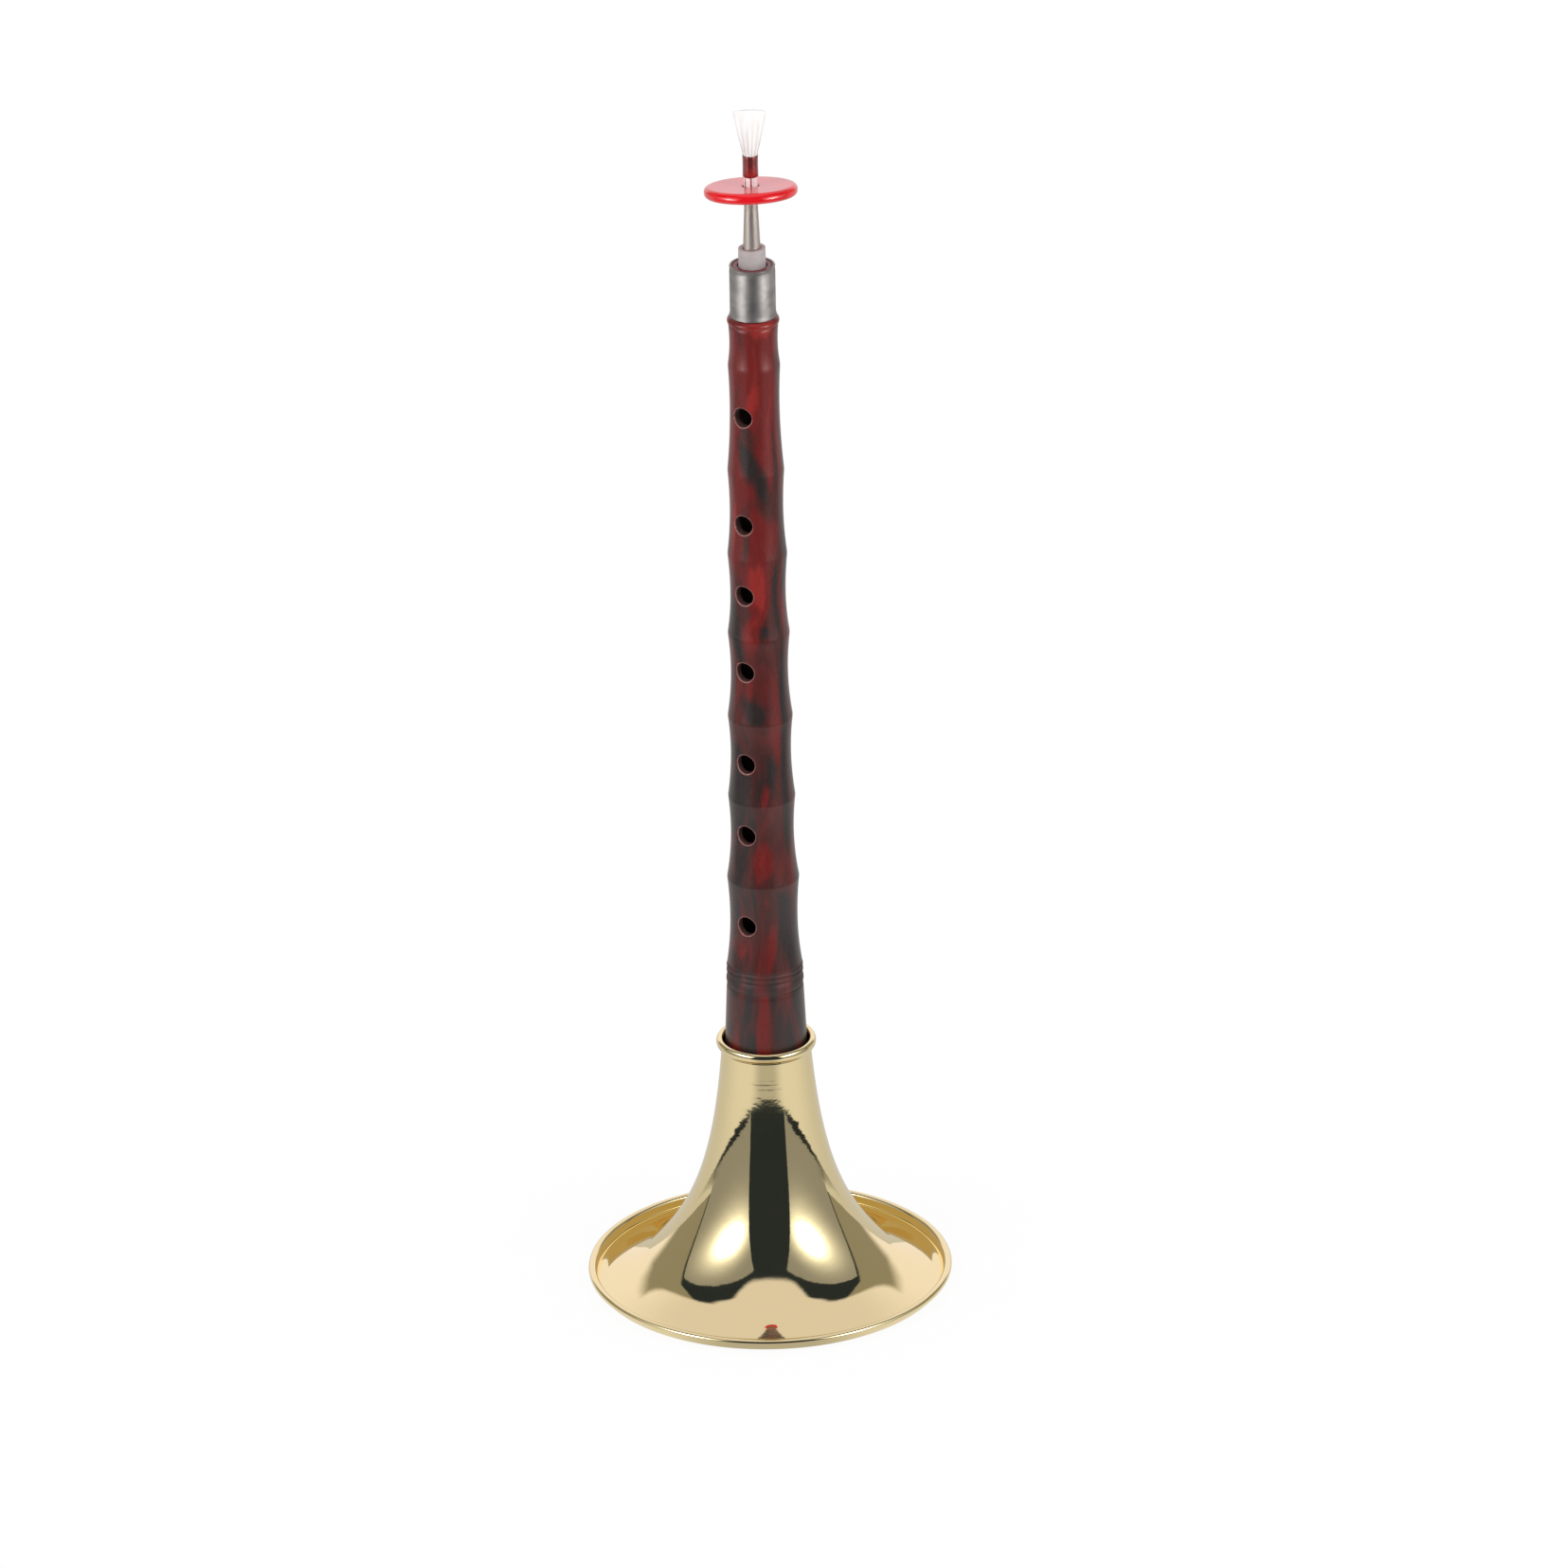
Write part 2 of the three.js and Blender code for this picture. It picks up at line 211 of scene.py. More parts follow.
# How dim the metal mirrors the paper: straight in front, where the camera and its stand shade
# it, and towards the back. Each is two angles beside the camera, and the brightness at them
FRONT_DIMMING = ((12, 40), (0.5, 0.79))
BACK_DIMMING = ((60, 130), (1, 0.8))

# The room that the metal mirrors, in degrees. The ceiling's lower edge rises between two angles
# beside the camera, from one height to another, and falls between two more by a difference in
# height; its edge is blurred. Further round the walls turn dim and then pale, and overhead the
# ceiling keeps this share of its brightness
CEILING_RISE = (22, 68, 52.5, 63)
CEILING_FALL = (88, 138, 0, 27)
CEILING_BLUR = (-2, 2)
FLANK_START = (104, 107)
BACK_START = (136, 146)
OVERHEAD_START = (28, 58)
OVERHEAD_SHARE = 0.8

# The marbling's largest swirls: how far down the pipe's body and across its seen side they lie, as
# shares, their length and half their width in millimetres, how far they lean, in degrees, and how
# much redder or smokier they are than the resin round them
LARGE_SWIRLS = (
    (0.003, 0, 9, 9.0, 0, 0.16),
    (0.158, -0.4, 28, 3.6, 5, -0.2),
    (0.195, -0.06, 36, 2.6, 16, -0.17),
    (0.17, 0.62, 26, 1.2, 0, -0.12),
    (0.29, 0.93, 34, 1.6, -4, -0.2),
    (0.4, -0.78, 34, 2.6, 14, -0.32),
    (0.37, 0.62, 30, 1.3, 4, -0.14),
    (0.4, 0.1, 5, 3.0, 0, -0.1),
    (0.49, -0.15, 7, 4.0, 0, -0.14),
    (0.54, 0.7, 62, 1.8, -2, -0.24),
    (0.58, 0.25, 24, 1.6, 3, -0.12),
    (0.655, 0.82, 20, 2.6, 0, -0.14),
    (0.655, -0.8, 9, 3.0, 0, -0.1),
    (0.75, -0.85, 20, 2.6, 6, -0.16),
    (0.79, 0.65, 34, 3.4, 0, -0.14),
    (0.86, -0.5, 26, 2.0, 0, -0.16),
    (0.94, 0.6, 30, 2.0, 0, -0.14),
    (0.95, -0.4, 22, 2.0, 0, -0.18),
    (0.07, -0.3, 26, 3.0, 0, 0.14),
    (0.24, -0.85, 40, 1.8, 4, 0.14),
    (0.27, 0.02, 14, 2.0, 6, 0.12),
    (0.335, -0.05, 26, 3.4, 4, 0.3),
    (0.4, -0.1, 14, 2.0, -6, 0.2),
    (0.62, 0.08, 10, 1.6, 0, 0.14),
    (0.7, 0.1, 14, 3.0, 0, 0.16),
    (0.81, 0.1, 20, 2.6, -8, 0.2),
    (0.93, -0.02, 52, 2.8, 0, 0.22),
    (0.95, -0.75, 30, 1.8, 0, 0.2),
)

# How deep they reach, in millimetres, and where they start and are whole, as shares of their size
SWIRL_DEPTH = 5
SWIRL_EDGE = (1.25, 0.35)

# Where the metals change, in millimetres: the bell's spinning marks, below its top, its painted
# deeper gold, a painted reflection of the brass in itself, from the corner inside the rim and
# from the middle of the rim's roll, and the staple's wear and its pale streaks, which are
# painted reflections, from the lip disc
MARKS_FADE = (-13.5, -12)
MIRRORED_GOLD_INNER = (-1.4, -0.6)
MIRRORED_GOLD_OUTER = (0.1, 0.3)
MIRRORED_GOLD_TOP = (0, 0.6)
WEAR_TOP = (-3, -1)
PAINTED_STREAKS_FOOT = (1, 2)

# Light that was mirrored more often than this shows the plain room
MIRRORED_ONCE = 1.5

# The stretch in which most of a mottling's values lie, and settings that many nodes share
MOTTLING_SPAN = (0.3, 0.7)
SMOOTH = {"interpolation_type": "SMOOTHSTEP"}
RGBA = {"data_type": "RGBA", "output": 2}
WHITE = (1, 1, 1, 1)


def linear(code):
    """An sRGB hex colour as linear red, green and blue."""
    parts = [int(code[i : i + 2], 16) / 255 for i in (1, 3, 5)]
    return [p / 12.92 if p <= 0.04045 else ((p + 0.055) / 1.055) ** 2.4 for p in parts]


def lerp(start, end, share):
    return start + (end - start) * share


def number(label, text, value, **more):
    """A number that a user can change."""
    return FloatProperty(name=label, description=text, default=value, **more)


def length(label, text, size):
    """A size that a user can change, given in millimetres."""
    return number(label, text, size * MM, min=0, precision=5, unit="LENGTH")


def rotation(label, text, degrees):
    """An angle that a user can change, given in degrees."""
    return number(label, text, math.radians(degrees), subtype="ANGLE", unit="ROTATION")


def colour(label, text, code):
    """A colour that a user can change, given as sRGB hex."""
    return FloatVectorProperty(
        name=label, description=text, default=linear(code), min=0, max=1, subtype="COLOR"
    )


def box_size(node):
    """A node's size along X, Y and Z in the frame, in millimetres."""
    low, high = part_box(node)
    return (high - low) / MM


class SuonaBellSizes(bpy.types.PropertyGroup):
    mouth: length("Mouth", "Across the rolled rim", box_size("bell").x)
    height: length("Height", "From the table to the top bead", box_size("bell").z)
    wall: length("Wall", "Thickness of the spun sheet", 0.8)
    rim_bead: length("Rim bead", "Thickness of the roll round the mouth", 2.4)
    rim_height: length("Rim height", "From the table to the top of the rim", 4.3)
    land: length("Land", "Width of the flat ring it stands on", 2)
    dish_width: length("Dish width", "From the land to the foot of the flare", 10.3)
    dish_depth: length("Dish depth", "Rise of the dish to the foot of the flare", 4.7)
    foot_blend: length("Foot blend", "How far up the flare its foot is eased into the dish", 2.9)
    collar_bead: length("Collar bead", "How far the roll round the neck stands out", 2.35)
    collar_bead_height: length("Collar bead height", "Height of the roll round the neck", 3.3)
    collar_groove: length("Collar groove", "Depth of the groove under the roll", 0.22)
    collar: length("Collar", "Height of the straight neck", 4.9)
    flare_power: number("Flare power", "How fast the horn opens", 5.3, min=0.5)
    flare_shift: number("Flare shift", "How late it opens, as a share of its height", 1.9, min=0.1)


class SuonaPipeSizes(bpy.types.PropertyGroup):
    body: length("Body", "From the foot to the shoulder", 259.2)
    foot: length("Foot", "Across the foot, inside the bell", box_size("pipe").x)
    foot_chamfer: length("Foot chamfer", "Bevel round the foot", 0.5)
    top_node: length("Top node", "Across the first node", 16.2)
    rings: length("Rings", "Across the turned rings", 23.6)
    cone_top: length("Cone top", "Across the cone under the rings", 24.1)
    neck: length("Neck", "Across the neck's waist", 14.9)
    neck_top: length("Neck top", "Across the neck under the bead", 15.4)
    bead: length("Bead", "Across the shoulder bead", 16.2)
    bead_height: length("Bead height", "Height of the shoulder bead", 2.9)
    tenon: length("Tenon", "Across the tenon in the ferrule", 12.6)
    tenon_length: length("Tenon length", "Above the shoulder", 16.6)
    tenon_chamfer: length("Tenon chamfer", "Bevel round the tenon's end", 0.25)
    socket: length("Socket", "Across the hole that takes the sleeve", 9.5)
    socket_depth: length("Socket depth", "Below the tenon's end", 12.4)
    bore_top: length("Bore top", "Across the bore under the socket", 8.6)
    bore_foot: length("Bore foot", "Across the bore at the foot", 18.5)
    hole: length("Finger hole", "Across each finger hole", 6.2)
    hole_edge: length("Hole edge", "Rounding of each hole's edge", 0.35)
    narrow_ring: length("Narrow ring", "Width of the two upper rings", 1.7)
    wide_ring: length("Wide ring", "Width of the lowest ring", 3.9)
    ring_groove: length("Ring groove", "Depth of the grooves", 0.3)
    ring_crest: length("Ring crest", "Rise of each ring", 0.15)


class SuonaTopSizes(bpy.types.PropertyGroup):
    ferrule: length("Ferrule", "Across the ferrule's tube", 14.2)
    ferrule_wall: length("Ferrule wall", "Thickness of its tube", 0.5)
    ferrule_lip: length("Ferrule lip", "Thickness of the bead round its mouth", 0.8)
    ferrule_foot: length("Ferrule foot", "How far its foot stands out", 0.25)
    ferrule_foot_height: length("Ferrule foot height", "Height of its foot", 1.4)
    staple_foot: length("Staple foot", "Across its lower end", 7)
    staple_shank: length("Staple shank", "Across its upper part", 4.3)
    staple_cone: length("Staple cone", "Length of its tapered part", 32.8)
    staple_wall: length("Staple wall", "Thickness of its tube", 0.35)
    nipple: length("Nipple", "Across the seat of the reed", 2.8)
    nipple_length: length("Nipple length", "Height of the reed's seat", 5.4)
    sleeve_top: length("Sleeve top", "Across the sleeve's upper end", 8.4)
    sleeve_foot: length("Sleeve foot", "Across the sleeve's lower end", 8.9)
    sleeve_slant: length("Sleeve slant", "How far its cut end slopes", 0.25)
    disc: length("Lip disc", "Across the lip disc", 28.8)
    disc_thickness: length("Disc thickness", "Thickness of the lip disc", 3.4)
    disc_corner: length("Disc corner", "Rounding of the lip disc's edges", 1.1)
    disc_hole: length("Disc hole", "Across the hole in the lip disc", 5.3)
    disc_lean: rotation("Disc lean", "How far the loose disc tips", 10.2)
    disc_heading: rotation("Disc heading", "Where its raised side faces, from -Y towards +X", 39.8)
    collar_wall: length("Collar wall", "Thickness of the reed's collar", 0.45)
    reed_wall: length("Reed wall", "Thickness of the reed's film", 0.3)
    blade: length("Blade", "Width of the reed's tip", 10.1)
    blade_thickness: length("Blade thickness", "Thickness of the reed's tip", 1)
    blade_neck: length("Blade neck", "Across the reed above its collar", 4.4)
    blade_crown: length("Blade crown", "How far the tip is rounded", 0.4)
    pleat: length("Pleat", "Depth of the reed's folds", 0.27)
    reed_heading: rotation("Reed heading", "Where its flat side faces, from -Y towards +X", 32)


class SuonaColours(bpy.types.PropertyGroup):
    brass: colour("Brass", "The bell's polished metal", "#F6E4B2")
    # The deeper gold inside the rim is a painted reflection of the brass mirrored in itself
    brass_mirrored_gold: colour("Brass in corners", "Old polish in the corner inside the rim", "#FFDE89")
    resin_red: colour("Resin red", "The pipe's main colour", "#6A1A17")
    resin_bright: colour("Resin bright red", "The pipe's clearest streaks", "#8C221D")
    resin_maroon: colour("Resin maroon", "Where red and charcoal mix", "#48201D")
    resin_dark: colour("Resin charcoal", "The pipe's dark swirls", "#2C2322")
    # The holes' edges are paler partly from the file's scratches and partly as a painted highlight
    resin_edge_and_highlight: colour("Resin edge", "The drilled holes' rounded edges", "#96605B")
    resin_bore: colour("Resin bore", "The oiled walls of the bore and the holes", "#5C403C")
    satin_nickel: colour("Satin nickel", "The ferrule", "#B0ABA8")
    bright_nickel: colour("Bright nickel", "The staple", "#CCC2BA")
    silicone: colour("Silicone", "The staple's sleeve", "#B6ACAC")
    disc: colour("Lip disc", "The lip disc's plastic", "#E3141E")
    lacquer: colour("Lacquer", "The reed's collar", "#AC5452")
    reed: colour("Reed", "The reed's film", "#FBF9F7")
    # The grey deep in the reed's folds is painted shade
    reed_fold_shade: colour("Reed folds", "The reed's film deep in its folds", "#C9C4C2")


class SuonaStudio(bpy.types.PropertyGroup):
    ambient: number("Ambient", "Even light from all round", 0.72, min=0)
    lamp_power: number("Lamps", "Power of each soft lamp", 4.0, unit="POWER")
    glow: number("Glow", "How bright the softboxes' middles are", 1.6)
    cloth: number("Cloth", "How bright the softboxes are at their edges", 0.3)
    ceiling: colour("Ceiling", "The pale room above and behind", "#FCF6FA")
    room: colour("Room", "The dark room beside the camera", "#2A3138")
    flank: colour("Flank", "The dim walls beside the softboxes", "#949184")
    folds: colour("Folds", "What the metal's folds mirror from each other", "#B9B5B7")
    paper: colour("Paper", "The paper on the table, as the metal mirrors it", "#FFFDFB")
    shade: number("Shade", "How much of its shadow the table shows", 0.06, subtype="FACTOR")


# Meshes


def arc(centre, radius, start, end, steps):
    """Points of a profile on a circle, both ends included; the angles are in degrees."""
    angles = [math.radians(lerp(start, end, i / steps)) for i in range(steps + 1)]
    return [
        (centre[0] + radius * math.cos(a), centre[1] + radius * math.sin(a)) for a in angles
    ]


def make_object(name, points, faces, sharp=SHARP_ANGLE):
    """A smooth mesh object whose faces point out; edges sharper than that many degrees stay."""
    mesh = bpy.data.meshes.new(name)
    mesh.from_pydata(points, [], faces)
    work = bmesh.new()
    work.from_mesh(mesh)
    loose = [v for v in work.verts if not v.link_faces]
    bmesh.ops.delete(work, geom=loose, context="VERTS")
    bmesh.ops.recalc_face_normals(work, faces=work.faces)
    work.to_mesh(mesh)
    work.free()
    mesh.shade_smooth()
    mesh.set_sharp_from_angle(angle=math.radians(sharp))
    piece = bpy.data.objects.new(name, mesh)
    bpy.context.scene.collection.objects.link(piece)
    return piece


def ring_faces(row, above, count):
    """The faces between two rings of points."""
    here, there = row * count, above * count
    columns = [(i, (i + 1) % count) for i in range(count)]
    return [(here + i, here + j, there + j, there + i) for i, j in columns]


def skinned(name, rings, sharp=SHARP_ANGLE):
    """A closed tube through rings of points; the last ring joins the first."""
    points = [point for ring in rings for point in ring]
    faces = []
    for row in range(len(rings)):
        faces += ring_faces(row, (row + 1) % len(rings), len(rings[0]))
    return make_object(name, points, faces, sharp)


def turned_ring(radius, height, segments):
    angles = [2 * math.pi * i / segments for i in range(segments)]
    return [(radius * math.cos(a), radius * math.sin(a), height) for a in angles]


def turned(name, profile, segments, foot=0):
    """A closed profile of radius and height above the foot, turned round the Z axis."""
    return skinned(name, [turned_ring(r, z + foot, segments) for r, z in profile])


def lifted(points, foot):
    return [(x, y, z + foot) for x, y, z in points]


def heights(node):
    """A node's lowest and highest place."""
    return [corner.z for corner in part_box(node)]


def dress(piece, node, body, slot, *materials):
    """Gives a piece its materials, and puts it in its node's place on the body that carries it."""
    for material in materials:
        piece.data.materials.append(material)
    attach(piece, body)
    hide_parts(node)


# Bell


def cone_radius(pipe, height):
    """The plain cone's radius at a height above the pipe's foot."""
    top = rings_top(pipe) - rings_height(pipe)
    return lerp(pipe.foot, pipe.cone_top, height / top) / 2


def flare_radius(bell, share, foot, neck):
    """The horn's radius from its foot, 0, to its neck, 1: a negative power of the height."""

    def grow(at):
        return (at + bell.flare_shift) ** -bell.flare_power

    return neck + (foot - neck) * (grow(share) - grow(1)) / (grow(0) - grow(1))


def bell_side(bell, land_inner, neck):
    """The bell's outer side from the land up through the dish and the flare to the neck."""
    dish_start = land_inner - bell.dish_width
    flare = []
    for i in range(FLARE_STEPS + 1):
        share = (i / FLARE_STEPS) ** FLARE_CROWDING
        height = lerp(bell.wall + bell.dish_depth, bell.height - bell.collar, share)
        flare.append((flare_radius(bell, share, dish_start, neck), height))
    eased_to = bell.wall + bell.dish_depth + bell.foot_blend
    flare = [point for point in flare if point[1] >= eased_to]
    slope = (flare[1][0] - flare[0][0]) / (flare[1][1] - flare[0][1])
    drop = FLARE_HANDLE * (flare[0][1] - bell.wall)
    reach = DISH_HANDLE * (land_inner - flare[0][0])
    corners = [
        Vector((land_inner, bell.wall)),
        Vector((land_inner - reach, bell.wall + reach * math.tan(DISH_SLOPE))),
        Vector((flare[0][0] - slope * drop, flare[0][1] - drop)),
        Vector(flare[0]),
    ]
    dish = []
    for i in range(DISH_STEPS):
        points = corners
        while len(points) > 1:
            points = [a.lerp(b, i / DISH_STEPS) for a, b in zip(points, points[1:])]
        dish.append(tuple(points[0]))
    return dish + flare


def offset_inwards(curve, wall):
    """A curve moved sideways by the wall, towards the axis."""
    moved = []
    for i, here in enumerate(curve):
        before = Vector(curve[max(i - 1, 0)])
        after = Vector(curve[min(i + 1, len(curve) - 1)])
        along = (after - before).normalized()
        moved.append((here[0] - along.y * wall, here[1] + along.x * wall))
    return moved


def rolled_edge(centre, radius, stretch=1):
    """A bead from where it leaves the sheet, round its outermost point, to its inner side."""
    around = arc((0, 0), radius, BEAD_START, 180, BEAD_STEPS)
    return [(centre[0] + x, centre[1] + y * stretch) for x, y in around]


def bell_profile(bell, neck_inner):
    rim = bell.rim_bead / 2
    rim_centre = (bell.mouth / 2 - rim, bell.rim_height - rim)
    land_outer = rim_centre[0] - rim - bell.wall
    land_inner = land_outer - bell.land
    side = bell_side(bell, land_inner, neck_inner + bell.wall)
    inner = offset_inwards(side, bell.wall)
    inner[0] = (land_inner, 0)
    inner[-1] = (neck_inner, bell.height - bell.collar)
    bead = bell.collar_bead / 2
    bead_tall = bell.collar_bead_height / 2
    curl = (land_outer, 2 * bell.wall)
    neck = side[-1][0]
    foot = bell.height - bell.collar_bead_height
    below = foot + GROOVE_FOOT
    groove = [
        (lerp(neck, neck - bell.collar_groove, s * s), lerp(below, foot + GROOVE_TOP, s))
        for s in GROOVE_STEPS
    ]
    return [
        *reversed(inner),
        *arc(curl, 2 * bell.wall, -90, 0, CURL_STEPS),
        *rolled_edge(rim_centre, rim),
        *arc(curl, bell.wall, 0, -90, CURL_STEPS),
        *side,
        (neck, below),
        *groove,
        *rolled_edge((neck_inner + bead, bell.height - bead_tall), bead, bead_tall / bead),
    ]


# Pipe


def pipe_height(pipe, share):
    """The height above the foot of a place given as a share below the shoulder."""
    return pipe.body * (1 - share)


def rings_top(pipe):
    return pipe_height(pipe, NODE_SHARES[-1][0])


def rings_height(pipe):
    return 2 * pipe.narrow_ring + pipe.wide_ring


def body_radius(pipe, girth):
    return lerp(pipe.top_node, pipe.rings, girth) / 2


def hollow_radius(pipe, height):
    """The radius between two ridges: a parabola from each ridge to the waist between them."""
    ridges = [(pipe.neck_top / 2, pipe.body - pipe.bead_height)]
    ridges += [(body_radius(pipe, g), pipe_height(pipe, s)) for s, g in NODE_SHARES]
    waists = [(pipe.neck / 2, pipe_height(pipe, NECK_PLACE_SHARE))]
    waists += [(body_radius(pipe, g), pipe_height(pipe, s)) for s, g in WAIST_SHARES]
    for i, waist in enumerate(waists):
        if height >= ridges[i + 1][1]:
            ridge = ridges[i] if height > waist[1] else ridges[i + 1]
            share = (height - waist[1]) / (ridge[1] - waist[1])
            return lerp(waist[0], ridge[0], share * share)
    return ridges[-1][0]


def ring_radius(pipe, height):
    """The radius on the three turned rings: a half wave for each, from groove to groove."""
    below = rings_top(pipe) - height
    girth = lerp(pipe.rings, pipe.cone_top, below / rings_height(pipe)) / 2
    for width in (pipe.narrow_ring, pipe.narrow_ring, pipe.wide_ring):
        if below <= width:
            rise = pipe.ring_groove + pipe.ring_crest
            return girth - pipe.ring_groove + rise * math.sin(math.pi * below / width)
        below -= width
    return girth


def exact_radius(pipe, height):
    if height > rings_top(pipe):
        return hollow_radius(pipe, height)
    if height > rings_top(pipe) - rings_height(pipe):
        return ring_radius(pipe, height)
    return cone_radius(pipe, height)


def outer_radius(pipe, height):
    """The pipe's outer radius with its ridges rounded by averaging over a short stretch."""
    share = (height - rings_top(pipe)) / (pipe.body - rings_top(pipe))
    reach = lerp(LOW_RIDGE_ROUNDING, TOP_RIDGE_ROUNDING, share)
    if height < rings_top(pipe) + LOW_RIDGE_ROUNDING:
        reach = RING_ROW_STEP
    steps = range(-ROUNDING_SAMPLES, ROUNDING_SAMPLES + 1)
    samples = [exact_radius(pipe, height + reach * i / ROUNDING_SAMPLES) for i in steps]
    return sum(samples) / len(samples)


def bore_radius(pipe, height):
    floor = pipe.body + pipe.tenon_length - pipe.socket_depth
    return lerp(pipe.bore_foot, pipe.bore_top, height / floor) / 2


def fill_rows(fixed, low, high):
    """Heights from low to high: even steps in the fixed stretches, and plain steps between them."""
    rows = [low]
    stretches = sorted(fixed) + [(high, high, PLAIN_ROW_STEP)]
    for start, end, step in stretches:
        for to, gap in ((start, PLAIN_ROW_STEP), (end, step)):
            span = to - rows[-1]
            if span > gap / 100:
                count = max(1, math.ceil(round(span / gap, 3)))
                base = rows[-1]
                rows += [base + span * i / count for i in range(1, count + 1)]
    return rows


def hole_centres(pipe):
    """Each hole's height and the column that its middle lies on: the front is column zero."""
    holes = [(pipe_height(pipe, share), 0) for share in FINGER_HOLE_SHARES]
    return holes + [(pipe_height(pipe, THUMB_HOLE_SHARE), PIPE_SEGMENTS // 2)]


def pipe_rows(pipe):
    reach = (HOLE_ROWS + WINDOW_RINGS) * HOLE_ROW_STEP
    fixed = [(h - reach, h + reach, HOLE_ROW_STEP) for h, _ in hole_centres(pipe)]
    for share, _ in NODE_SHARES[:-1]:
        height = pipe_height(pipe, share)
        fixed.append((height - RIDGE_REACH, height + RIDGE_REACH, RIDGE_ROW_STEP))
    rings = rings_top(pipe)
    fixed.append((rings - rings_height(pipe), rings + RIDGE_REACH, RING_ROW_STEP))
    top = pipe.body - pipe.bead_height
    return fill_rows(fixed, pipe.foot_chamfer, top)


def window_place(pipe, height, column):
    """The hole whose window holds this point, with the point's row and column from its middle."""
    for centre, middle in hole_centres(pipe):
        row = (height - centre) / HOLE_ROW_STEP
        across = (column - middle + PIPE_SEGMENTS // 2) % PIPE_SEGMENTS - PIPE_SEGMENTS // 2
        near = abs(row) <= HOLE_ROWS + WINDOW_RINGS + ROW_SLACK
        if near and abs(across) <= HOLE_COLUMNS + WINDOW_RINGS:
            return centre, middle, round(row), across
    return None


def window_angle(row, column):
    """The angle round a hole of a point of its window; the points of a ring are evenly spread."""
    ring = max(abs(column) - HOLE_COLUMNS, abs(row) - HOLE_ROWS)
    up, across = HOLE_ROWS + ring, HOLE_COLUMNS + ring
    corner = math.pi / 2 * up / (up + across)
    if abs(column) == across:
        side = corner * row / up
        return side if column > 0 else math.pi - side
    top = math.pi / 2 - (math.pi / 2 - corner) * column / across
    return top if row > 0 else -top


def drilled_point(pipe, radius_at, hole_radius, height, column):
    """A point on the pipe's skin; in a window it moves to leave a round hole in the middle."""
    turn = 2 * math.pi / PIPE_SEGMENTS
    place = window_place(pipe, height, column)
    angle = turn * column
    if place:
        centre, middle, row, across = place
        ring = max(abs(across) - HOLE_COLUMNS, abs(row) - HOLE_ROWS)
        if ring >= 0:
            share = ring / WINDOW_RINGS
            around = window_angle(row, across)
            reach = hole_radius * (1 + share / 2)
            side = reach * math.cos(around) / radius_at(pipe, centre)
            angle = turn * middle + lerp(math.asin(side), turn * across, share)
            height = lerp(centre + reach * math.sin(around), height, share)
    radius = radius_at(pipe, height)
    return (radius * math.sin(angle), -radius * math.cos(angle), height)


def in_opening(pipe, low, high, column):
    """Whether the cell between two rows, to the right of a column, lies in a hole's opening."""
    place = window_place(pipe, (low + high) / 2, column)
    if not place:
        return False
    centre, _, _, across = place
    inside = abs((low + high) / 2 - centre) < HOLE_ROWS * HOLE_ROW_STEP
    return inside and -HOLE_COLUMNS <= across < HOLE_COLUMNS


def skin_faces(pipe, rows, first):
    """The faces of one skin of the pipe, whose points start at an index, without its holes."""
    faces = []
    for i in range(len(rows) - 1):
        row = first // PIPE_SEGMENTS + i
        for column, face in enumerate(ring_faces(row, row + 1, PIPE_SEGMENTS)):
            if not in_opening(pipe, rows[i], rows[i + 1], column):
                faces.append(face)
    return faces


def opening_loop(rows, first, centre, middle):
    """The points of one skin round a hole's opening, in order, with the angle of each."""
    base = min(range(len(rows)), key=lambda i: abs(rows[i] - centre))
    up, out = HOLE_ROWS, HOLE_COLUMNS
    half = [(row, out) for row in range(-up, up)]
    half += [(up, column) for column in range(out, -out, -1)]
    loop = half + [(-row, -column) for row, column in half]
    found = []
    for row, column in loop:
        across = (middle + column) % PIPE_SEGMENTS
        index = first + (base + row) * PIPE_SEGMENTS + across
        found.append((index, window_angle(row, column)))
    return found


def hole_wall(pipe, centre, middle, outer, inner, points):
    """Adds the points of a hole's rounded edge; returns the faces of the edge and of its wall."""
    turn = 2 * math.pi * middle / PIPE_SEGMENTS
    strips = [[index for index, _ in outer]]
    for step in range(1, EDGE_STEPS + 1):
        bend = math.pi / 2 * step / EDGE_STEPS
        reach = pipe.hole / 2 + pipe.hole_edge * (1 - math.sin(bend))
        depth = pipe.hole_edge * (1 - math.cos(bend))
        strip = []
        for _, around in outer:
            height = centre + reach * math.sin(around)
            radius = outer_radius(pipe, height)
            side = reach * math.cos(around)
            out = math.sqrt(radius * radius - side * side) - depth
            strip.append(len(points))
            x = side * math.cos(turn) + out * math.sin(turn)
            y = side * math.sin(turn) - out * math.cos(turn)
            points.append((x, y, height))
        strips.append(strip)
    strips.append([index for index, _ in inner])
    faces = []
    for near, far in zip(strips, strips[1:]):
        for i in range(len(near)):
            faces.append((near[i - 1], near[i], far[i], far[i - 1]))
    wall = len(faces) - len(inner)
    return faces[:wall], faces[wall:]


def pipe_ends(pipe):
    """The rings above the body's rows, down into the socket, and those round the foot."""
    bead = pipe.bead_height / 2
    bead_centre = (pipe.bead / 2 - bead, pipe.body - bead)
    top = pipe.body + pipe.tenon_length
    floor = top - pipe.socket_depth
    tenon = pipe.tenon / 2
    above = [
        *arc(bead_centre, bead, SHOULDER_BEAD_START, 90, BEAD_STEPS),
        (tenon, pipe.body),
        (tenon, top - pipe.tenon_chamfer),
        (tenon - pipe.tenon_chamfer, top),
        (pipe.socket / 2, top),
        (pipe.socket / 2, floor),
        (pipe.bore_top / 2, floor),
    ]
    return above, [(cone_radius(pipe, 0) - pipe.foot_chamfer, 0), (pipe.bore_foot / 2, 0)]


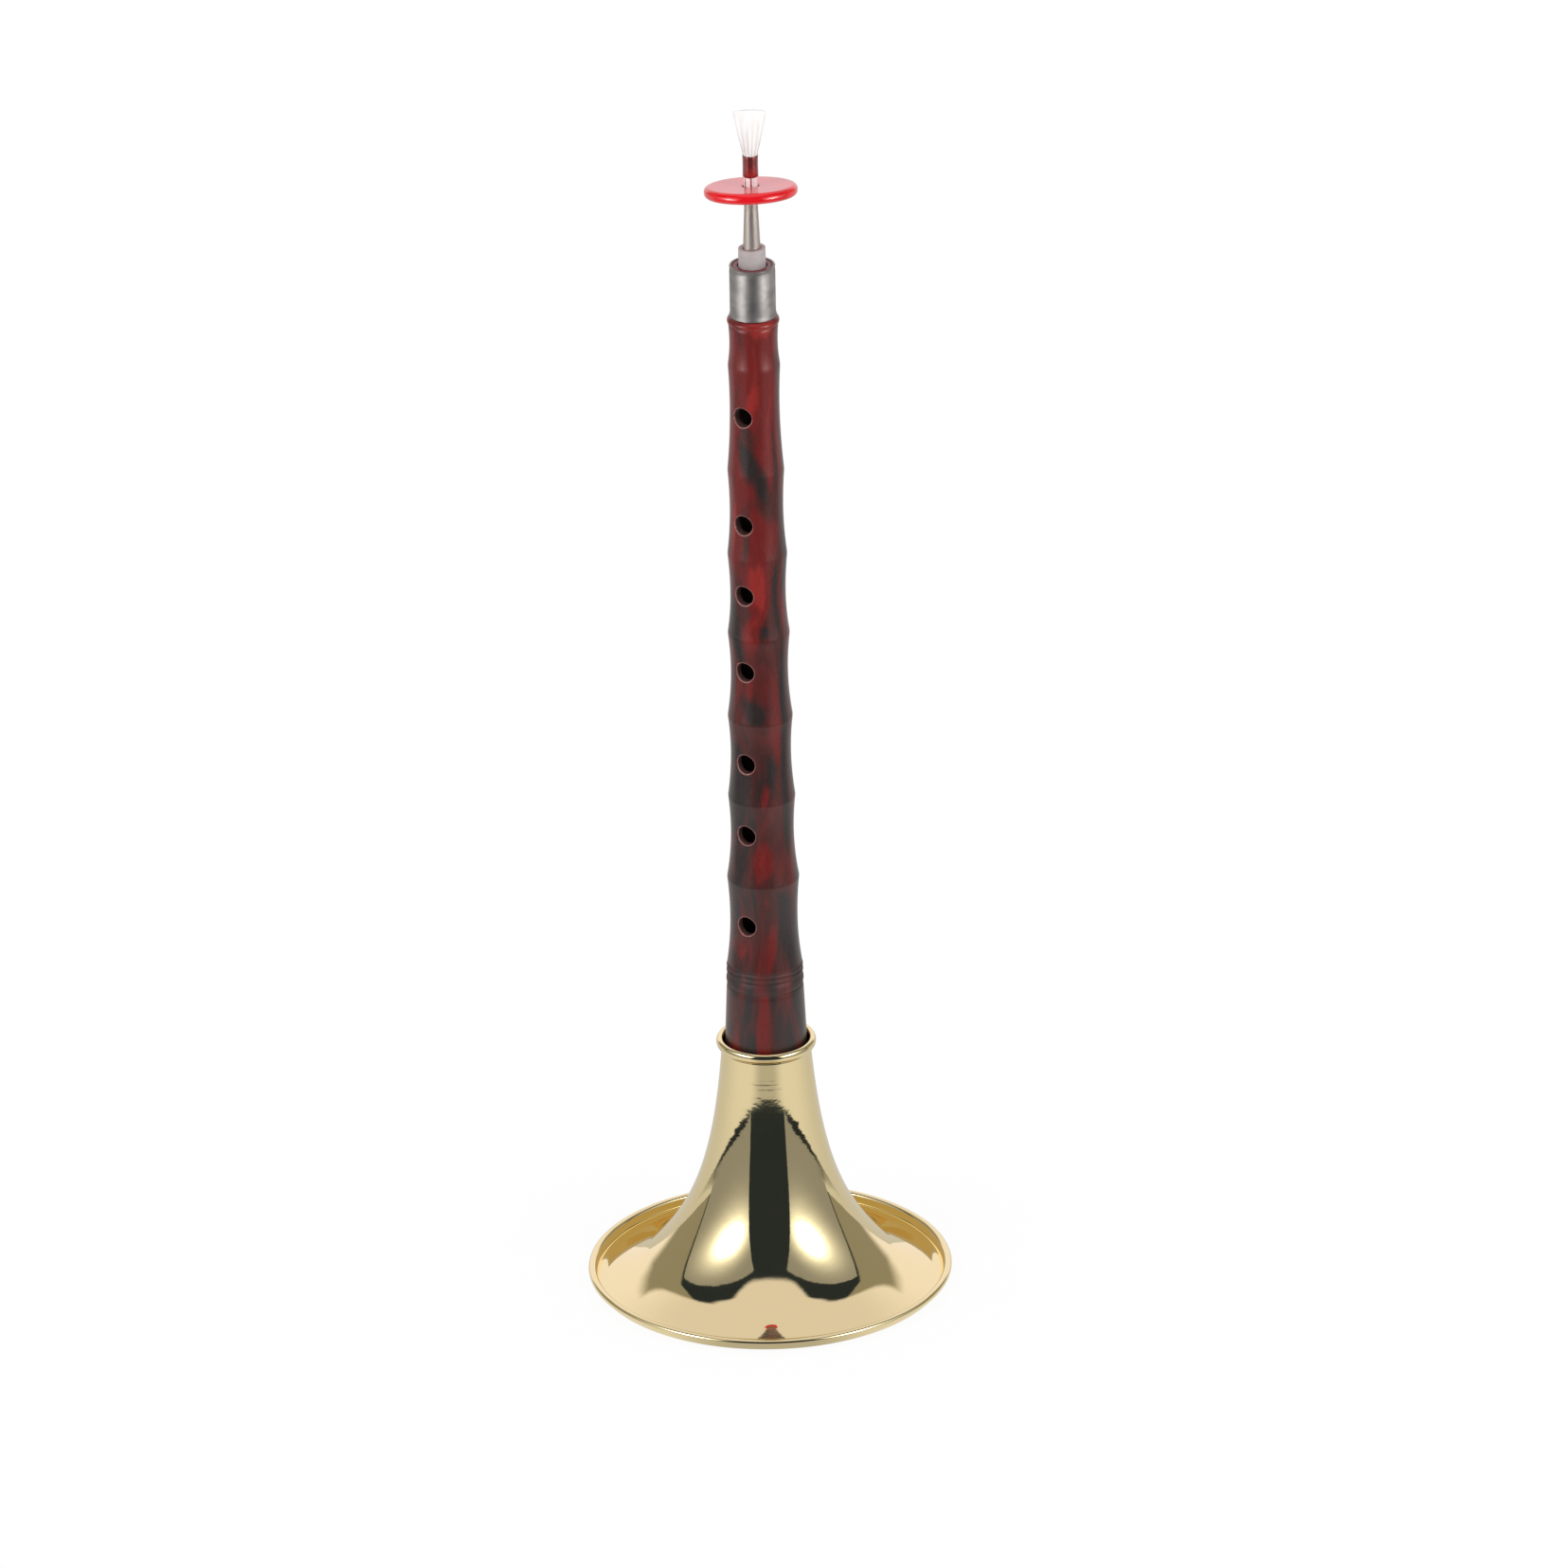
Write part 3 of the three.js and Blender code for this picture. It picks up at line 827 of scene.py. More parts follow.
def pipe_mesh(pipe):
    """The pipe's points, in its own frame, and its faces: skin, edges of holes, and bore."""
    rows = pipe_rows(pipe)
    reach = (HOLE_ROWS + WINDOW_RINGS + ROW_SLACK) * HOLE_ROW_STEP
    centres = hole_centres(pipe)
    bore_rows = [h for h in rows if any(abs(h - c) <= reach for c, _ in centres)]
    above, foot = pipe_ends(pipe)
    hole = pipe.hole / 2
    columns = range(PIPE_SEGMENTS)
    points = []
    for height in rows:
        reach = hole + pipe.hole_edge
        points += [drilled_point(pipe, outer_radius, reach, height, i) for i in columns]
    skin = skin_faces(pipe, rows, 0)
    first_bore = len(points)
    for height in bore_rows:
        points += [drilled_point(pipe, bore_radius, hole, height, i) for i in columns]
    bore = skin_faces(pipe, bore_rows, first_bore)
    ends = [(len(rows) - 1, above, first_bore // PIPE_SEGMENTS + len(bore_rows) - 1)]
    ends.append((0, foot, first_bore // PIPE_SEGMENTS))
    for start, profile, finish in ends:
        ring = start
        for radius, height in profile:
            new = len(points) // PIPE_SEGMENTS
            for column in columns:
                angle = 2 * math.pi * column / PIPE_SEGMENTS
                points.append((radius * math.sin(angle), -radius * math.cos(angle), height))
            skin += ring_faces(ring, new, PIPE_SEGMENTS)
            ring = new
        skin += ring_faces(ring, finish, PIPE_SEGMENTS)
    edges = []
    for centre, middle in centres:
        outer = opening_loop(rows, 0, centre, middle)
        inner = opening_loop(bore_rows, first_bore, centre, middle)
        edge, wall = hole_wall(pipe, centre, middle, outer, inner, points)
        edges += edge
        bore += wall
    return points, (skin, edges, bore)


# Ferrule, staple, sleeve, lip disc and reed


def rounded(corner, before, after, radius):
    """A profile's corner rounded a little: points on the curve between its two sides."""
    corner, before, after = Vector(corner), Vector(before), Vector(after)
    start = corner + (before - corner).normalized() * radius
    end = corner + (after - corner).normalized() * radius
    shares = [i / EDGE_STEPS for i in range(EDGE_STEPS + 1)]
    return [tuple(start.lerp(corner, s).lerp(corner.lerp(end, s), s)) for s in shares]


def eased(profile, radius):
    """A closed profile with each of its corners rounded."""
    points = []
    for i, corner in enumerate(profile):
        points += rounded(corner, profile[i - 1], profile[(i + 1) % len(profile)], radius)
    return points


def ferrule_profile(top, tall):
    outer = top.ferrule / 2
    inner = outer - top.ferrule_wall
    foot = outer + top.ferrule_foot
    lip = top.ferrule_lip / 2
    steps = [(outer + top.ferrule_foot * r, top.ferrule_foot_height * z) for r, z in FERRULE_FOOT]
    groove = [(outer - r * MM, tall - z * MM) for r, z in FERRULE_GROOVE]
    return [
        (inner, 0),
        (foot - FERRULE_BEVEL, 0),
        (foot, FERRULE_BEVEL),
        *steps,
        *groove,
        *arc((outer - lip, tall - lip), lip, *FERRULE_LIP_ARC, BEAD_STEPS),
        (inner, tall - FERRULE_LIP_DEPTH),
    ]


def staple_radius(top, height):
    share = min(height / top.staple_cone, 1)
    return lerp(top.staple_foot, top.staple_shank, share) / 2


def staple_profile(top, tall):
    step = tall - top.nipple_length
    nipple = top.nipple / 2
    shank = top.staple_shank / 2
    wall = top.staple_wall
    profile = [
        (staple_radius(top, 0) - wall, 0),
        (staple_radius(top, 0), 0),
        (staple_radius(top, top.staple_cone), top.staple_cone),
        (shank, step),
        (nipple, step),
        (nipple, tall),
        (nipple - wall, tall),
        (nipple - wall, step - wall),
        (shank - wall, top.staple_cone),
    ]
    return eased(profile, wall / 3)


def sleeve_rings(top, tall, seat):
    """The sleeve: a tube round the staple's cone, swollen at its foot and cut aslant at its top."""
    profile = [
        (staple_radius(top, seat) + THIN_GAP, 0),
        (top.sleeve_foot / 2, 0),
        (top.sleeve_top / 2, tall),
        (staple_radius(top, seat + tall) + THIN_GAP, tall),
    ]
    rings = []
    for reach, height in eased(profile, SLEEVE_ROUNDING):
        ring = []
        for x, y, z in turned_ring(reach, height, SMALL_SEGMENTS):
            fall = 0.5 + 0.5 * math.cos(math.atan2(y, x) - SLEEVE_CUT_HEADING)
            upper = max(0, (z - tall / 2) / (tall / 2))
            ring.append((x, y, z - top.sleeve_slant * fall * upper * upper))
        rings.append(ring)
    return rings


def disc_profile(top):
    half = top.disc_thickness / 2
    hole = top.disc_hole / 2
    edge = hole + DISC_HOLE_EDGE
    flat = top.disc / 2 - top.disc_corner
    lower = [(hole, DISC_HOLE_EDGE - half), (edge, DISC_FALL - half)]
    lower += [(lerp(edge, flat, s), DISC_FALL * (1 - s) - half) for s in DISC_FALL_STEPS]
    side = []
    for i in range(-BEAD_STEPS, 1):
        share = math.sin(math.pi / 2 * i / BEAD_STEPS)
        swell = (1 - abs(share) ** DISC_SIDE_POWER) ** DISC_SWELL_POWER
        side.append((flat + top.disc_corner * swell, half * share))
    upper = [(r, -z) for r, z in reversed([*lower, *side[:-1]])]
    return [*lower, *side, *upper]


def collar_profile(top, tall):
    inner = top.nipple / 2 + 2 * THIN_GAP + top.reed_wall
    outer = inner + top.collar_wall
    shares = [i / COLLAR_STEPS for i in range(COLLAR_STEPS + 1)]
    side = [(outer - COLLAR_WAIST * math.sin(math.pi * s), tall * s) for s in shares]
    return [
        *rounded((outer, 0), (inner, 0), side[1], COLLAR_ROUNDING),
        *side[1:-1],
        *rounded((outer, tall), side[-2], (inner, tall), COLLAR_ROUNDING),
        (inner, tall),
        (inner, 0),
    ]


def blade_reach(top, share):
    """Half the blade's width, from its foot, 0, to its tip, 1."""
    return lerp(top.blade_neck, top.blade, 1 - (1 - share) ** SPREAD_POWER) / 2


def fold_depth(level):
    """How deep the film lies in a pleat, from 0 to 1, at a place across the reed from -1 to 1."""
    return 0.5 - 0.5 * math.cos(PLEATS * 2 * math.pi * level)


def blade_ring(top, share, height, inset):
    """One ring of the reed's blade: a flattened oval whose sides are folded into pleats."""
    across = blade_reach(top, share) - inset
    thick = lerp(top.blade_neck, top.blade_thickness, share) / 2 - inset
    fold = top.pleat * (1 - share) ** PLEAT_FADE * min(1, PLEAT_GROWTH * share + PLEAT_FOOT)
    ring = []
    for i in range(SMALL_SEGMENTS):
        angle = 2 * math.pi * i / SMALL_SEGMENTS
        x = across * math.cos(angle)
        level = x / across
        out = math.copysign(abs(math.sin(angle)) ** OVAL_POWER, math.sin(angle))
        pressed = min(fold, thick * PLEAT_MOST) * fold_depth(level) * (1 - level**4)
        crown = top.blade_crown * share**CROWN_POWER * level * level
        ring.append((x, out * (thick - pressed), height - crown))
    return ring


def reed_rings(top, tall, collar):
    """The reed's skin from its seat to its tip, and the inner one back down to its seat."""
    foot = collar + THIN_GAP
    skins = []
    for inset in (0, top.reed_wall):
        tube = top.nipple / 2 + THIN_GAP + top.reed_wall - inset
        skin = [turned_ring(tube, height, SMALL_SEGMENTS) for height in (0, collar)]
        for i in range(BLADE_STEPS + 1):
            share = i / BLADE_STEPS
            skin.append(blade_ring(top, share, lerp(foot, tall, share), inset))
        skins.append(skin)
    return skins[0] + skins[1][::-1]


def paint_fold_shade(reed, top, foot, tip):
    """Stores painted shade at each point of the film: most in the folds, less towards the tip, and
    some at its edges.
    """
    folds = reed.data.attributes.new("fold", "FLOAT", "POINT")
    for vertex, fold in zip(reed.data.vertices, folds.data):
        share = max(0, (vertex.co.z - foot) / (tip - foot))
        level = vertex.co.x / blade_reach(top, share)
        grey = fold_depth(level) * (1 - share) ** FOLD_SHADE_FADE
        fold.value = min(1, grey + EDGE_SHADE * abs(level) ** EDGE_POWER)


# Materials


def add_node(tree, kind, inputs=(), output=0, **settings):
    """Adds a node, sets or links its inputs, and gives back one of its outputs."""
    node = tree.nodes.new("ShaderNode" + kind)
    for name, value in settings.items():
        setattr(node, name, value)
    for socket, value in inputs.items() if isinstance(inputs, dict) else enumerate(inputs):
        if isinstance(value, bpy.types.NodeSocket):
            tree.links.new(value, node.inputs[socket])
        else:
            node.inputs[socket].default_value = value
    return node.outputs[output] if node.outputs else None


def new_material(name):
    """A material without nodes, its tree, and the piece's own coordinates."""
    material = bpy.data.materials.new(name)
    material.use_nodes = True
    tree = material.node_tree
    tree.nodes.clear()
    return material, tree, add_node(tree, "TexCoord", output="Object")


def millimetres(tree, place):
    """Coordinates that were in metres, counted in millimetres."""
    return add_node(tree, "VectorMath", {0: place, "Scale": 1 / MM}, operation="SCALE")


def mottling(tree, place, size, detail, output="Fac"):
    """Random spots as large as the size, in millimetres along X, Y and Z."""
    spots = add_node(tree, "VectorMath", [place, [1 / s for s in size]], operation="MULTIPLY")
    inputs = {"Vector": spots, "Scale": 1.0, "Detail": detail}
    return add_node(tree, "TexNoise", inputs, output)


def opaque(values, share=1):
    """A colour, or a darker or lighter share of it, for a node's socket."""
    return (*(value * share for value in values), 1)


def axis_rings(tree, place):
    """Coordinates that only change with the distance from the axis and with the height."""
    flat = add_node(tree, "VectorMath", [place, (1, 1, 0)], operation="MULTIPLY")
    reach = add_node(tree, "VectorMath", [flat], "Value", operation="LENGTH")
    height = add_node(tree, "SeparateXYZ", [place], "Z")
    return add_node(tree, "CombineXYZ", [reach, 0, height])


def mottled_material(name, paint, dark, spots, relief, finish, spun=False):
    """A finish that is mottled down to a darker share of its paint.

    The spots are their size in millimetres and their detail. The relief is the same for its bumps,
    then how much of them shows and their depth in millimetres. Spun ones run round the axis.
    """
    material, tree, place = new_material(name)
    place = millimetres(tree, place)
    place = axis_rings(tree, place) if spun else place
    share = [mottling(tree, place, *spots), *MOTTLING_SPAN]
    share = add_node(tree, "MapRange", share, **SMOOTH)
    base = add_node(tree, "Mix", {0: share, 6: opaque(paint, dark), 7: opaque(paint)}, **RGBA)
    inputs = {"Base Color": base, **finish}
    if relief:
        size, detail, strength, depth = relief
        bumps = mottling(tree, place, size, detail)
        inputs["Normal"] = add_node(
            tree, "Bump", {"Strength": strength, "Distance": depth * MM, "Height": bumps}
        )
    add_node(tree, "OutputMaterial", [add_node(tree, "BsdfPrincipled", inputs)])
    return material


def beside(place, edge):
    """The two ends of a soft edge that lies near a place."""
    return [place + step for step in edge]


def brass_material(colours, bell):
    """Yellow brass, spun over a form and polished: mirror-like, with faint rings from the tool."""
    material, tree, place = new_material("yellow_brass_spun_polished")
    place = millimetres(tree, place)
    rings = axis_rings(tree, place)
    reach, _, height = add_node(tree, "SeparateXYZ", [rings]).node.outputs
    # The spinning tool's marks lie about 0.3 mm apart; drawn at 1.1 mm, and clearest on the neck
    tool = mottling(tree, rings, (1.1, 1.1, 1.1), 2)
    neck = [height, *beside(bell.height / MM, MARKS_FADE), 0.03, 1]
    neck = add_node(tree, "MapRange", neck, **SMOOTH)
    marks = add_node(tree, "Bump", {"Strength": neck, "Distance": 0.02 * MM, "Height": tool})
    # A hand-held tool leaves the sheet a little wavy, every 5 to 9 mm
    wave = mottling(tree, place, (9, 9, 5), 3)
    inputs = {"Strength": 0.5, "Distance": 0.045 * MM, "Height": wave, "Normal": marks}
    sheet = add_node(tree, "Bump", inputs)
    # Handling leaves a faint haze in patches 14 mm wide and 8 mm tall
    haze = mottling(tree, place, (14, 14, 8), 2)
    rough = add_node(tree, "MapRange", [haze, *MOTTLING_SPAN, 0.03, 0.055], **SMOOTH)
    # Painted reflection: the corner inside the rolled rim is painted a deeper gold, the colour of
    # brass mirrored in itself again and again
    inside = (bell.mouth / 2 - bell.rim_bead) / MM
    middle = (bell.rim_height - bell.rim_bead / 2) / MM
    deep = add_node(tree, "MapRange", [reach, *beside(inside, MIRRORED_GOLD_INNER)], **SMOOTH)
    for value, corner, edge in ((reach, inside, MIRRORED_GOLD_OUTER), (height, middle, MIRRORED_GOLD_TOP)):
        shown = add_node(tree, "MapRange", [value, *beside(corner, edge), 1, 0], **SMOOTH)
        deep = add_node(tree, "Math", [deep, shown], operation="MULTIPLY")
    golds = {0: deep, 6: opaque(colours.brass), 7: opaque(colours.brass_mirrored_gold)}
    base = add_node(tree, "Mix", golds, **RGBA)
    inputs = {"Base Color": base, "Metallic": 1, "Roughness": rough, "Normal": sheet}
    add_node(tree, "OutputMaterial", [add_node(tree, "BsdfPrincipled", inputs)])
    return material


def add_swirl(tree, place, total, pipe, foot, swirl):
    """Adds one large swirl of the marbling: a long soft spot on the pipe's seen side."""
    share, across, tall, wide, lean, amount = swirl
    height = pipe_height(pipe, share)
    radius = outer_radius(pipe, height)
    angle = CAMERA_HEADING + math.asin(across)
    centre = Vector((radius * math.sin(angle), -radius * math.cos(angle), foot + height)) / MM
    turn = (0, math.radians(-lean), angle)
    inputs = [place, centre, turn, (wide, SWIRL_DEPTH, tall / 2)]
    spot = add_node(tree, "Mapping", inputs, vector_type="TEXTURE")
    reach = add_node(tree, "VectorMath", [spot], "Value", operation="LENGTH")
    mask = add_node(tree, "MapRange", [reach, *SWIRL_EDGE], **SMOOTH)
    return add_node(tree, "Math", [mask, amount, total], operation="MULTIPLY_ADD")


def resin_material(colours, pipe, foot):
    """Two-colour thermoset resin, moulded and buffed: smoky swirls drawn out along the pipe."""
    material, tree, place = new_material("marbled_resin_moulded_buffed")
    place = millimetres(tree, place)
    # The melt is stirred: currents about 18 mm wide bend the streaks, and the large swirls less
    stir = mottling(tree, place, (18, 18, 42), 1, "Color")
    push = add_node(tree, "VectorMath", [stir, (0.5, 0.5, 0.5)], operation="SUBTRACT")
    bent, wisp = (
        add_node(tree, "VectorMath", [push, bend, place], operation="MULTIPLY_ADD")
        for bend in ((26, 26, 40), (7, 7, 20))
    )
    # The marbling is redder towards the pipe's top and darker towards its foot
    height = add_node(tree, "SeparateXYZ", [place], "Z")
    low, high = ((foot + share * pipe.body) / MM for share in (0.4, 0.9))
    total = add_node(tree, "MapRange", [height, low, high, 0.33, 0.46], **SMOOTH)
    # Swirls are about 8 mm wide and 60 mm long, and the streaks in them 2.2 mm wide
    for size, weight in (((8, 8, 60), 0.35), ((2.2, 2.2, 70), 0.22)):
        part = mottling(tree, bent, size, 0)
        total = add_node(tree, "Math", [part, weight, total], operation="MULTIPLY_ADD")
    for swirl in LARGE_SWIRLS:
        total = add_swirl(tree, wisp, total, pipe, foot, swirl)
    # From charcoal through maroon and red to bright red
    base = opaque(colours.resin_dark)
    for start, end, redder in (
        (0.54, 0.64, colours.resin_maroon),
        (0.64, 0.76, colours.resin_red),
        (0.8, 0.95, colours.resin_bright),
    ):
        share = add_node(tree, "MapRange", [total, start, end], **SMOOTH)
        base = add_node(tree, "Mix", {0: share, 6: base, 7: opaque(redder)}, **RGBA)
    # Buffing leaves the surface very slightly uneven, in spots about 1.5 mm wide
    grain = mottling(tree, place, (1.5, 1.5, 5), 2)
    bump = add_node(tree, "Bump", {"Strength": 0.2, "Distance": 0.02 * MM, "Height": grain})
    polish = add_node(tree, "MapRange", [grain, *MOTTLING_SPAN, 0.24, 0.3], **SMOOTH)
    # The buffing wheel doesn't reach into the rings' grooves, which stay duller
    half = rings_height(pipe) / 2 / MM
    middle = foot + rings_top(pipe) - rings_height(pipe) / 2
    aside = add_node(tree, "Math", [height, middle / MM], operation="SUBTRACT")
    away = add_node(tree, "Math", [aside], operation="ABSOLUTE")
    dull = add_node(tree, "MapRange", [away, half, half + 1, 0.22, 0], **SMOOTH)
    rough = add_node(tree, "Math", [polish, dull], operation="ADD")
    inputs = {"Base Color": base, "Roughness": rough, "IOR": 1.52, "Normal": bump}
    add_node(tree, "OutputMaterial", [add_node(tree, "BsdfPrincipled", inputs)])
    return material


def drilled_edge_material(colours):
    """The same resin where each hole's edge was broken with a file: duller, scratched, and paler
    from the scratches and a painted highlight.
    """
    # File scratches about 0.2 mm apart; drawn at 0.8 mm so that they show
    scratches = ((0.8, 0.8, 0.8), 2)
    finish = {"Roughness": 0.35, "IOR": 1.55}
    name = "marbled_resin_filed_edge_and_highlight"
    return mottled_material(name, colours.resin_edge_and_highlight, 0.55, scratches, None, finish)


def oiled_bore_material(colours):
    """The same resin, reamed and oiled inside: nearly black, with fine marks round the bore."""
    # The reamer's marks lie about 0.2 mm apart; drawn at 0.6 mm so that they show
    reamed = ((0.6, 0.6, 0.6), 2)
    finish = {"Roughness": 0.5, "IOR": 1.5}
    name = "marbled_resin_reamed_oiled"
    relief = (*reamed, 0.3, 0.02)
    return mottled_material(name, colours.resin_bore, 0.6, reamed, relief, finish, spun=True)


def silicone_material(colours):
    """Milky silicone rubber, moulded: soft-looking, dull and a little cloudy."""
    # Clouds are about 3 mm across; dust of about 0.05 mm is drawn at 0.3 mm so that it shows
    cloud = ((3, 3, 3), 2)
    dust = ((0.3, 0.3, 0.3), 2, 0.3, 0.02)
    finish = {"Roughness": 0.55, "IOR": 1.43}
    return mottled_material("silicone_rubber_moulded", colours.silicone, 0.86, cloud, dust, finish)


def disc_material(colours):
    """Red ABS, injection moulded in a polished tool: deep colour under a wet-looking skin."""
    # The plastic's flow shows in patches of 10 mm, and it sinks a little every 5 mm
    flow = ((10, 10, 10), 1)
    sink = ((5, 5, 5), 1, 0.2, 0.03)
    finish = {"Roughness": 0.12, "IOR": 1.54, "Coat Weight": 0.4, "Coat Roughness": 0.03}
    return mottled_material("abs_moulded_gloss_red", colours.disc, 0.85, flow, sink, finish)


def lacquer_material(colours):
    """Dark red lacquer dipped over a metal tube: a thick clear gloss with small runs."""
    # The runs are about 1.2 mm wide and 4 mm long
    runs = ((1.2, 1.2, 4), 2)
    finish = {"Metallic": 0.8, "Roughness": 0.2, "Coat Weight": 1, "Coat Roughness": 0.08}
    relief = (*runs, 0.25, 0.03)
    return mottled_material("red_lacquer_dipped", colours.lacquer, 0.75, runs, relief, finish)


def satin_nickel_material(colours):
    """Nickel plate over blasted brass: an even satin that blurs what it mirrors."""
    material, tree, place = new_material("nickel_plate_satin")
    place = millimetres(tree, place)
    # Blasting pits are about 0.05 mm and draw marks 0.1 mm; drawn at 0.35 and 0.5 mm to show
    blast = mottling(tree, place, (0.35, 0.35, 0.35), 2)
    drawn = mottling(tree, axis_rings(tree, place), (0.5, 0.5, 0.5), 2)
    relief = {"Strength": 0.3, "Distance": 0.006 * MM, "Height": blast}
    pits = add_node(tree, "Bump", relief)
    relief = {"Strength": 0.3, "Distance": 0.004 * MM, "Height": drawn, "Normal": pits}
    bump = add_node(tree, "Bump", relief)
    rough = add_node(tree, "MapRange", [blast, *MOTTLING_SPAN, 0.46, 0.52], **SMOOTH)
    # Fingers leave it a little uneven, in patches of about 4 mm
    touched = mottling(tree, place, (4, 4, 3), 1)
    handled = add_node(tree, "MapRange", [touched, *MOTTLING_SPAN], **SMOOTH)
    nickel = colours.satin_nickel
    plates = {0: handled, 6: opaque(nickel, 0.8), 7: opaque(nickel, 1.12)}
    base = add_node(tree, "Mix", plates, **RGBA)
    inputs = {"Base Color": base, "Metallic": 1, "Roughness": rough, "Normal": bump}
    add_node(tree, "OutputMaterial", [add_node(tree, "BsdfPrincipled", inputs)])
    return material


def bright_nickel_material(colours, disc_height):
    """Nickel plate over brushed brass: a soft mirror above the lip disc, duller with wear below."""
    material, tree, place = new_material("nickel_plate_bright")
    place = millimetres(tree, place)
    # Draw marks are about 0.1 mm wide; drawn at 0.5 mm so that they show
    drawn = mottling(tree, place, (0.5, 0.5, 12), 2)
    bump = add_node(tree, "Bump", {"Strength": 0.2, "Distance": 0.006 * MM, "Height": drawn})
    height = add_node(tree, "SeparateXYZ", [place], "Z")
    disc = disc_height / MM
    worn = add_node(tree, "MapRange", [height, *beside(disc, WEAR_TOP), 0.24, 0], **SMOOTH)
    rough = add_node(tree, "MapRange", [drawn, *MOTTLING_SPAN, 0.26, 0.32], **SMOOTH)
    dulled = add_node(tree, "Math", [rough, worn], operation="ADD")
    # Above the lip disc, pale streaks about 0.7 mm wide, white and barely metallic: painted
    # reflections of bright stripes in the plate
    run = mottling(tree, place, (0.7, 0.7, 24), 1)
    streak = add_node(tree, "MapRange", [run, 0.42, 0.54], **SMOOTH)
    wet = add_node(tree, "MapRange", [height, *beside(disc, PAINTED_STREAKS_FOOT)], **SMOOTH)
    film = add_node(tree, "Math", [streak, wet], operation="MULTIPLY")
    base = add_node(tree, "Mix", {0: film, 6: opaque(colours.bright_nickel), 7: WHITE}, **RGBA)
    metal = add_node(tree, "MapRange", [film, 0, 1, 1, 0.15], **SMOOTH)
    inputs = {"Base Color": base, "Metallic": metal, "Roughness": dulled, "Normal": bump}
    add_node(tree, "OutputMaterial", [add_node(tree, "BsdfPrincipled", inputs)])
    return material


def reed_material(colours):
    """Polypropylene tube, pressed flat while hot: milky film, with painted shade deep in its folds.
    """
    material, tree, place = new_material("polypropylene_pressed_film")
    place = millimetres(tree, place)
    # The fold attribute holds painted shade, greying the film in its folds and at its edges
    fold = add_node(tree, "Attribute", output="Fac", attribute_name="fold")
    # Pressing stretches the film into faint streaks about 1.2 mm wide
    streak = mottling(tree, place, (1.2, 1.2, 14), 1)
    faint = add_node(tree, "MapRange", [streak, 0.35, 0.65, 0, 0.18], **SMOOTH)
    grey = add_node(tree, "Math", [fold, faint], operation="ADD", use_clamp=True)
    films = {0: grey, 6: opaque(colours.reed), 7: opaque(colours.reed_fold_shade)}
    base = add_node(tree, "Mix", films, **RGBA)
    bump = add_node(tree, "Bump", {"Strength": 0.15, "Distance": 0.02 * MM, "Height": streak})
    inputs = {"Base Color": base, "Roughness": 0.4, "IOR": 1.49, "Normal": bump}
    add_node(tree, "OutputMaterial", [add_node(tree, "BsdfPrincipled", inputs)])
    return material


# Studio


def facing(tree, place):
    """The angle of a direction or place beside the camera, and how far back and up it lies."""
    inputs = {"Vector": place, "Angle": -CAMERA_HEADING}
    ahead = add_node(tree, "VectorRotate", inputs, rotation_type="Z_AXIS")
    right, back, up = add_node(tree, "SeparateXYZ", [ahead]).node.outputs
    front = add_node(tree, "Math", [back, -1], operation="MULTIPLY")
    side = add_node(tree, "Math", [right], operation="ABSOLUTE")
    return add_node(tree, "Math", [side, front], operation="ARCTAN2"), back, up


def radians(*angles):
    """Angles given in degrees, counted in radians."""
    return [math.radians(angle) for angle in angles]


def studio_world(studio):
    """White for the camera, even light for surfaces, and the dark and pale room in reflections."""
    world = bpy.data.worlds.new("studio_room")
    world.use_nodes = True
    tree = world.node_tree
    tree.nodes.clear()
    around, _, up = facing(tree, add_node(tree, "TexCoord", output="Generated"))
    rise = add_node(tree, "Math", [up], operation="ARCSINE")
    # The ceiling starts higher beside the softboxes than above the camera or behind
    shoulder, fall = (
        add_node(tree, "MapRange", [around, *radians(*edge)], **SMOOTH)
        for edge in (CEILING_RISE, CEILING_FALL)
    )
    limit = add_node(tree, "Math", [shoulder, fall], operation="SUBTRACT")
    above = add_node(tree, "Math", [rise, limit], operation="SUBTRACT")
    ceiling, back, flank, lift = (
        add_node(tree, "MapRange", [value, *radians(*edge)], **SMOOTH)
        for value, edge in (
            (above, CEILING_BLUR),
            (around, BACK_START),
            (around, FLANK_START),
            (rise, OVERHEAD_START),
        )
    )
    pale = add_node(tree, "Math", [ceiling, back], operation="MAXIMUM")
    rays = add_node(tree, "LightPath").node.outputs
    # Between the metal's own folds, where light is mirrored again, the room evens out
    depth = [rays["Glossy Depth"], MIRRORED_ONCE]
    again = add_node(tree, "Math", depth, operation="GREATER_THAN")
    seen = [rays["Is Camera Ray"], rays["Is Transmission Ray"]]
    seen = add_node(tree, "Math", seen, operation="MAXIMUM")
    # Overhead it is a little dimmer than low down behind
    overhead = opaque(studio.ceiling, OVERHEAD_SHARE)
    high = add_node(tree, "Mix", {0: lift, 6: opaque(studio.ceiling), 7: overhead}, **RGBA)
    walls = {0: flank, 6: opaque(studio.room), 7: opaque(studio.flank)}
    walls = add_node(tree, "Mix", walls, **RGBA)
    room = add_node(tree, "Mix", {0: pale, 6: walls, 7: high}, **RGBA)
    room = add_node(tree, "Mix", {0: again, 6: room, 7: opaque(studio.folds)}, **RGBA)
    ambient = opaque([studio.ambient] * 3)
    lit = add_node(tree, "Mix", {0: rays["Is Glossy Ray"], 6: ambient, 7: room}, **RGBA)
    shown = add_node(tree, "Mix", {0: seen, 6: lit, 7: WHITE}, **RGBA)
    add_node(tree, "OutputWorld", [add_node(tree, "Background", [shown, 1])])
    bpy.context.scene.world = world


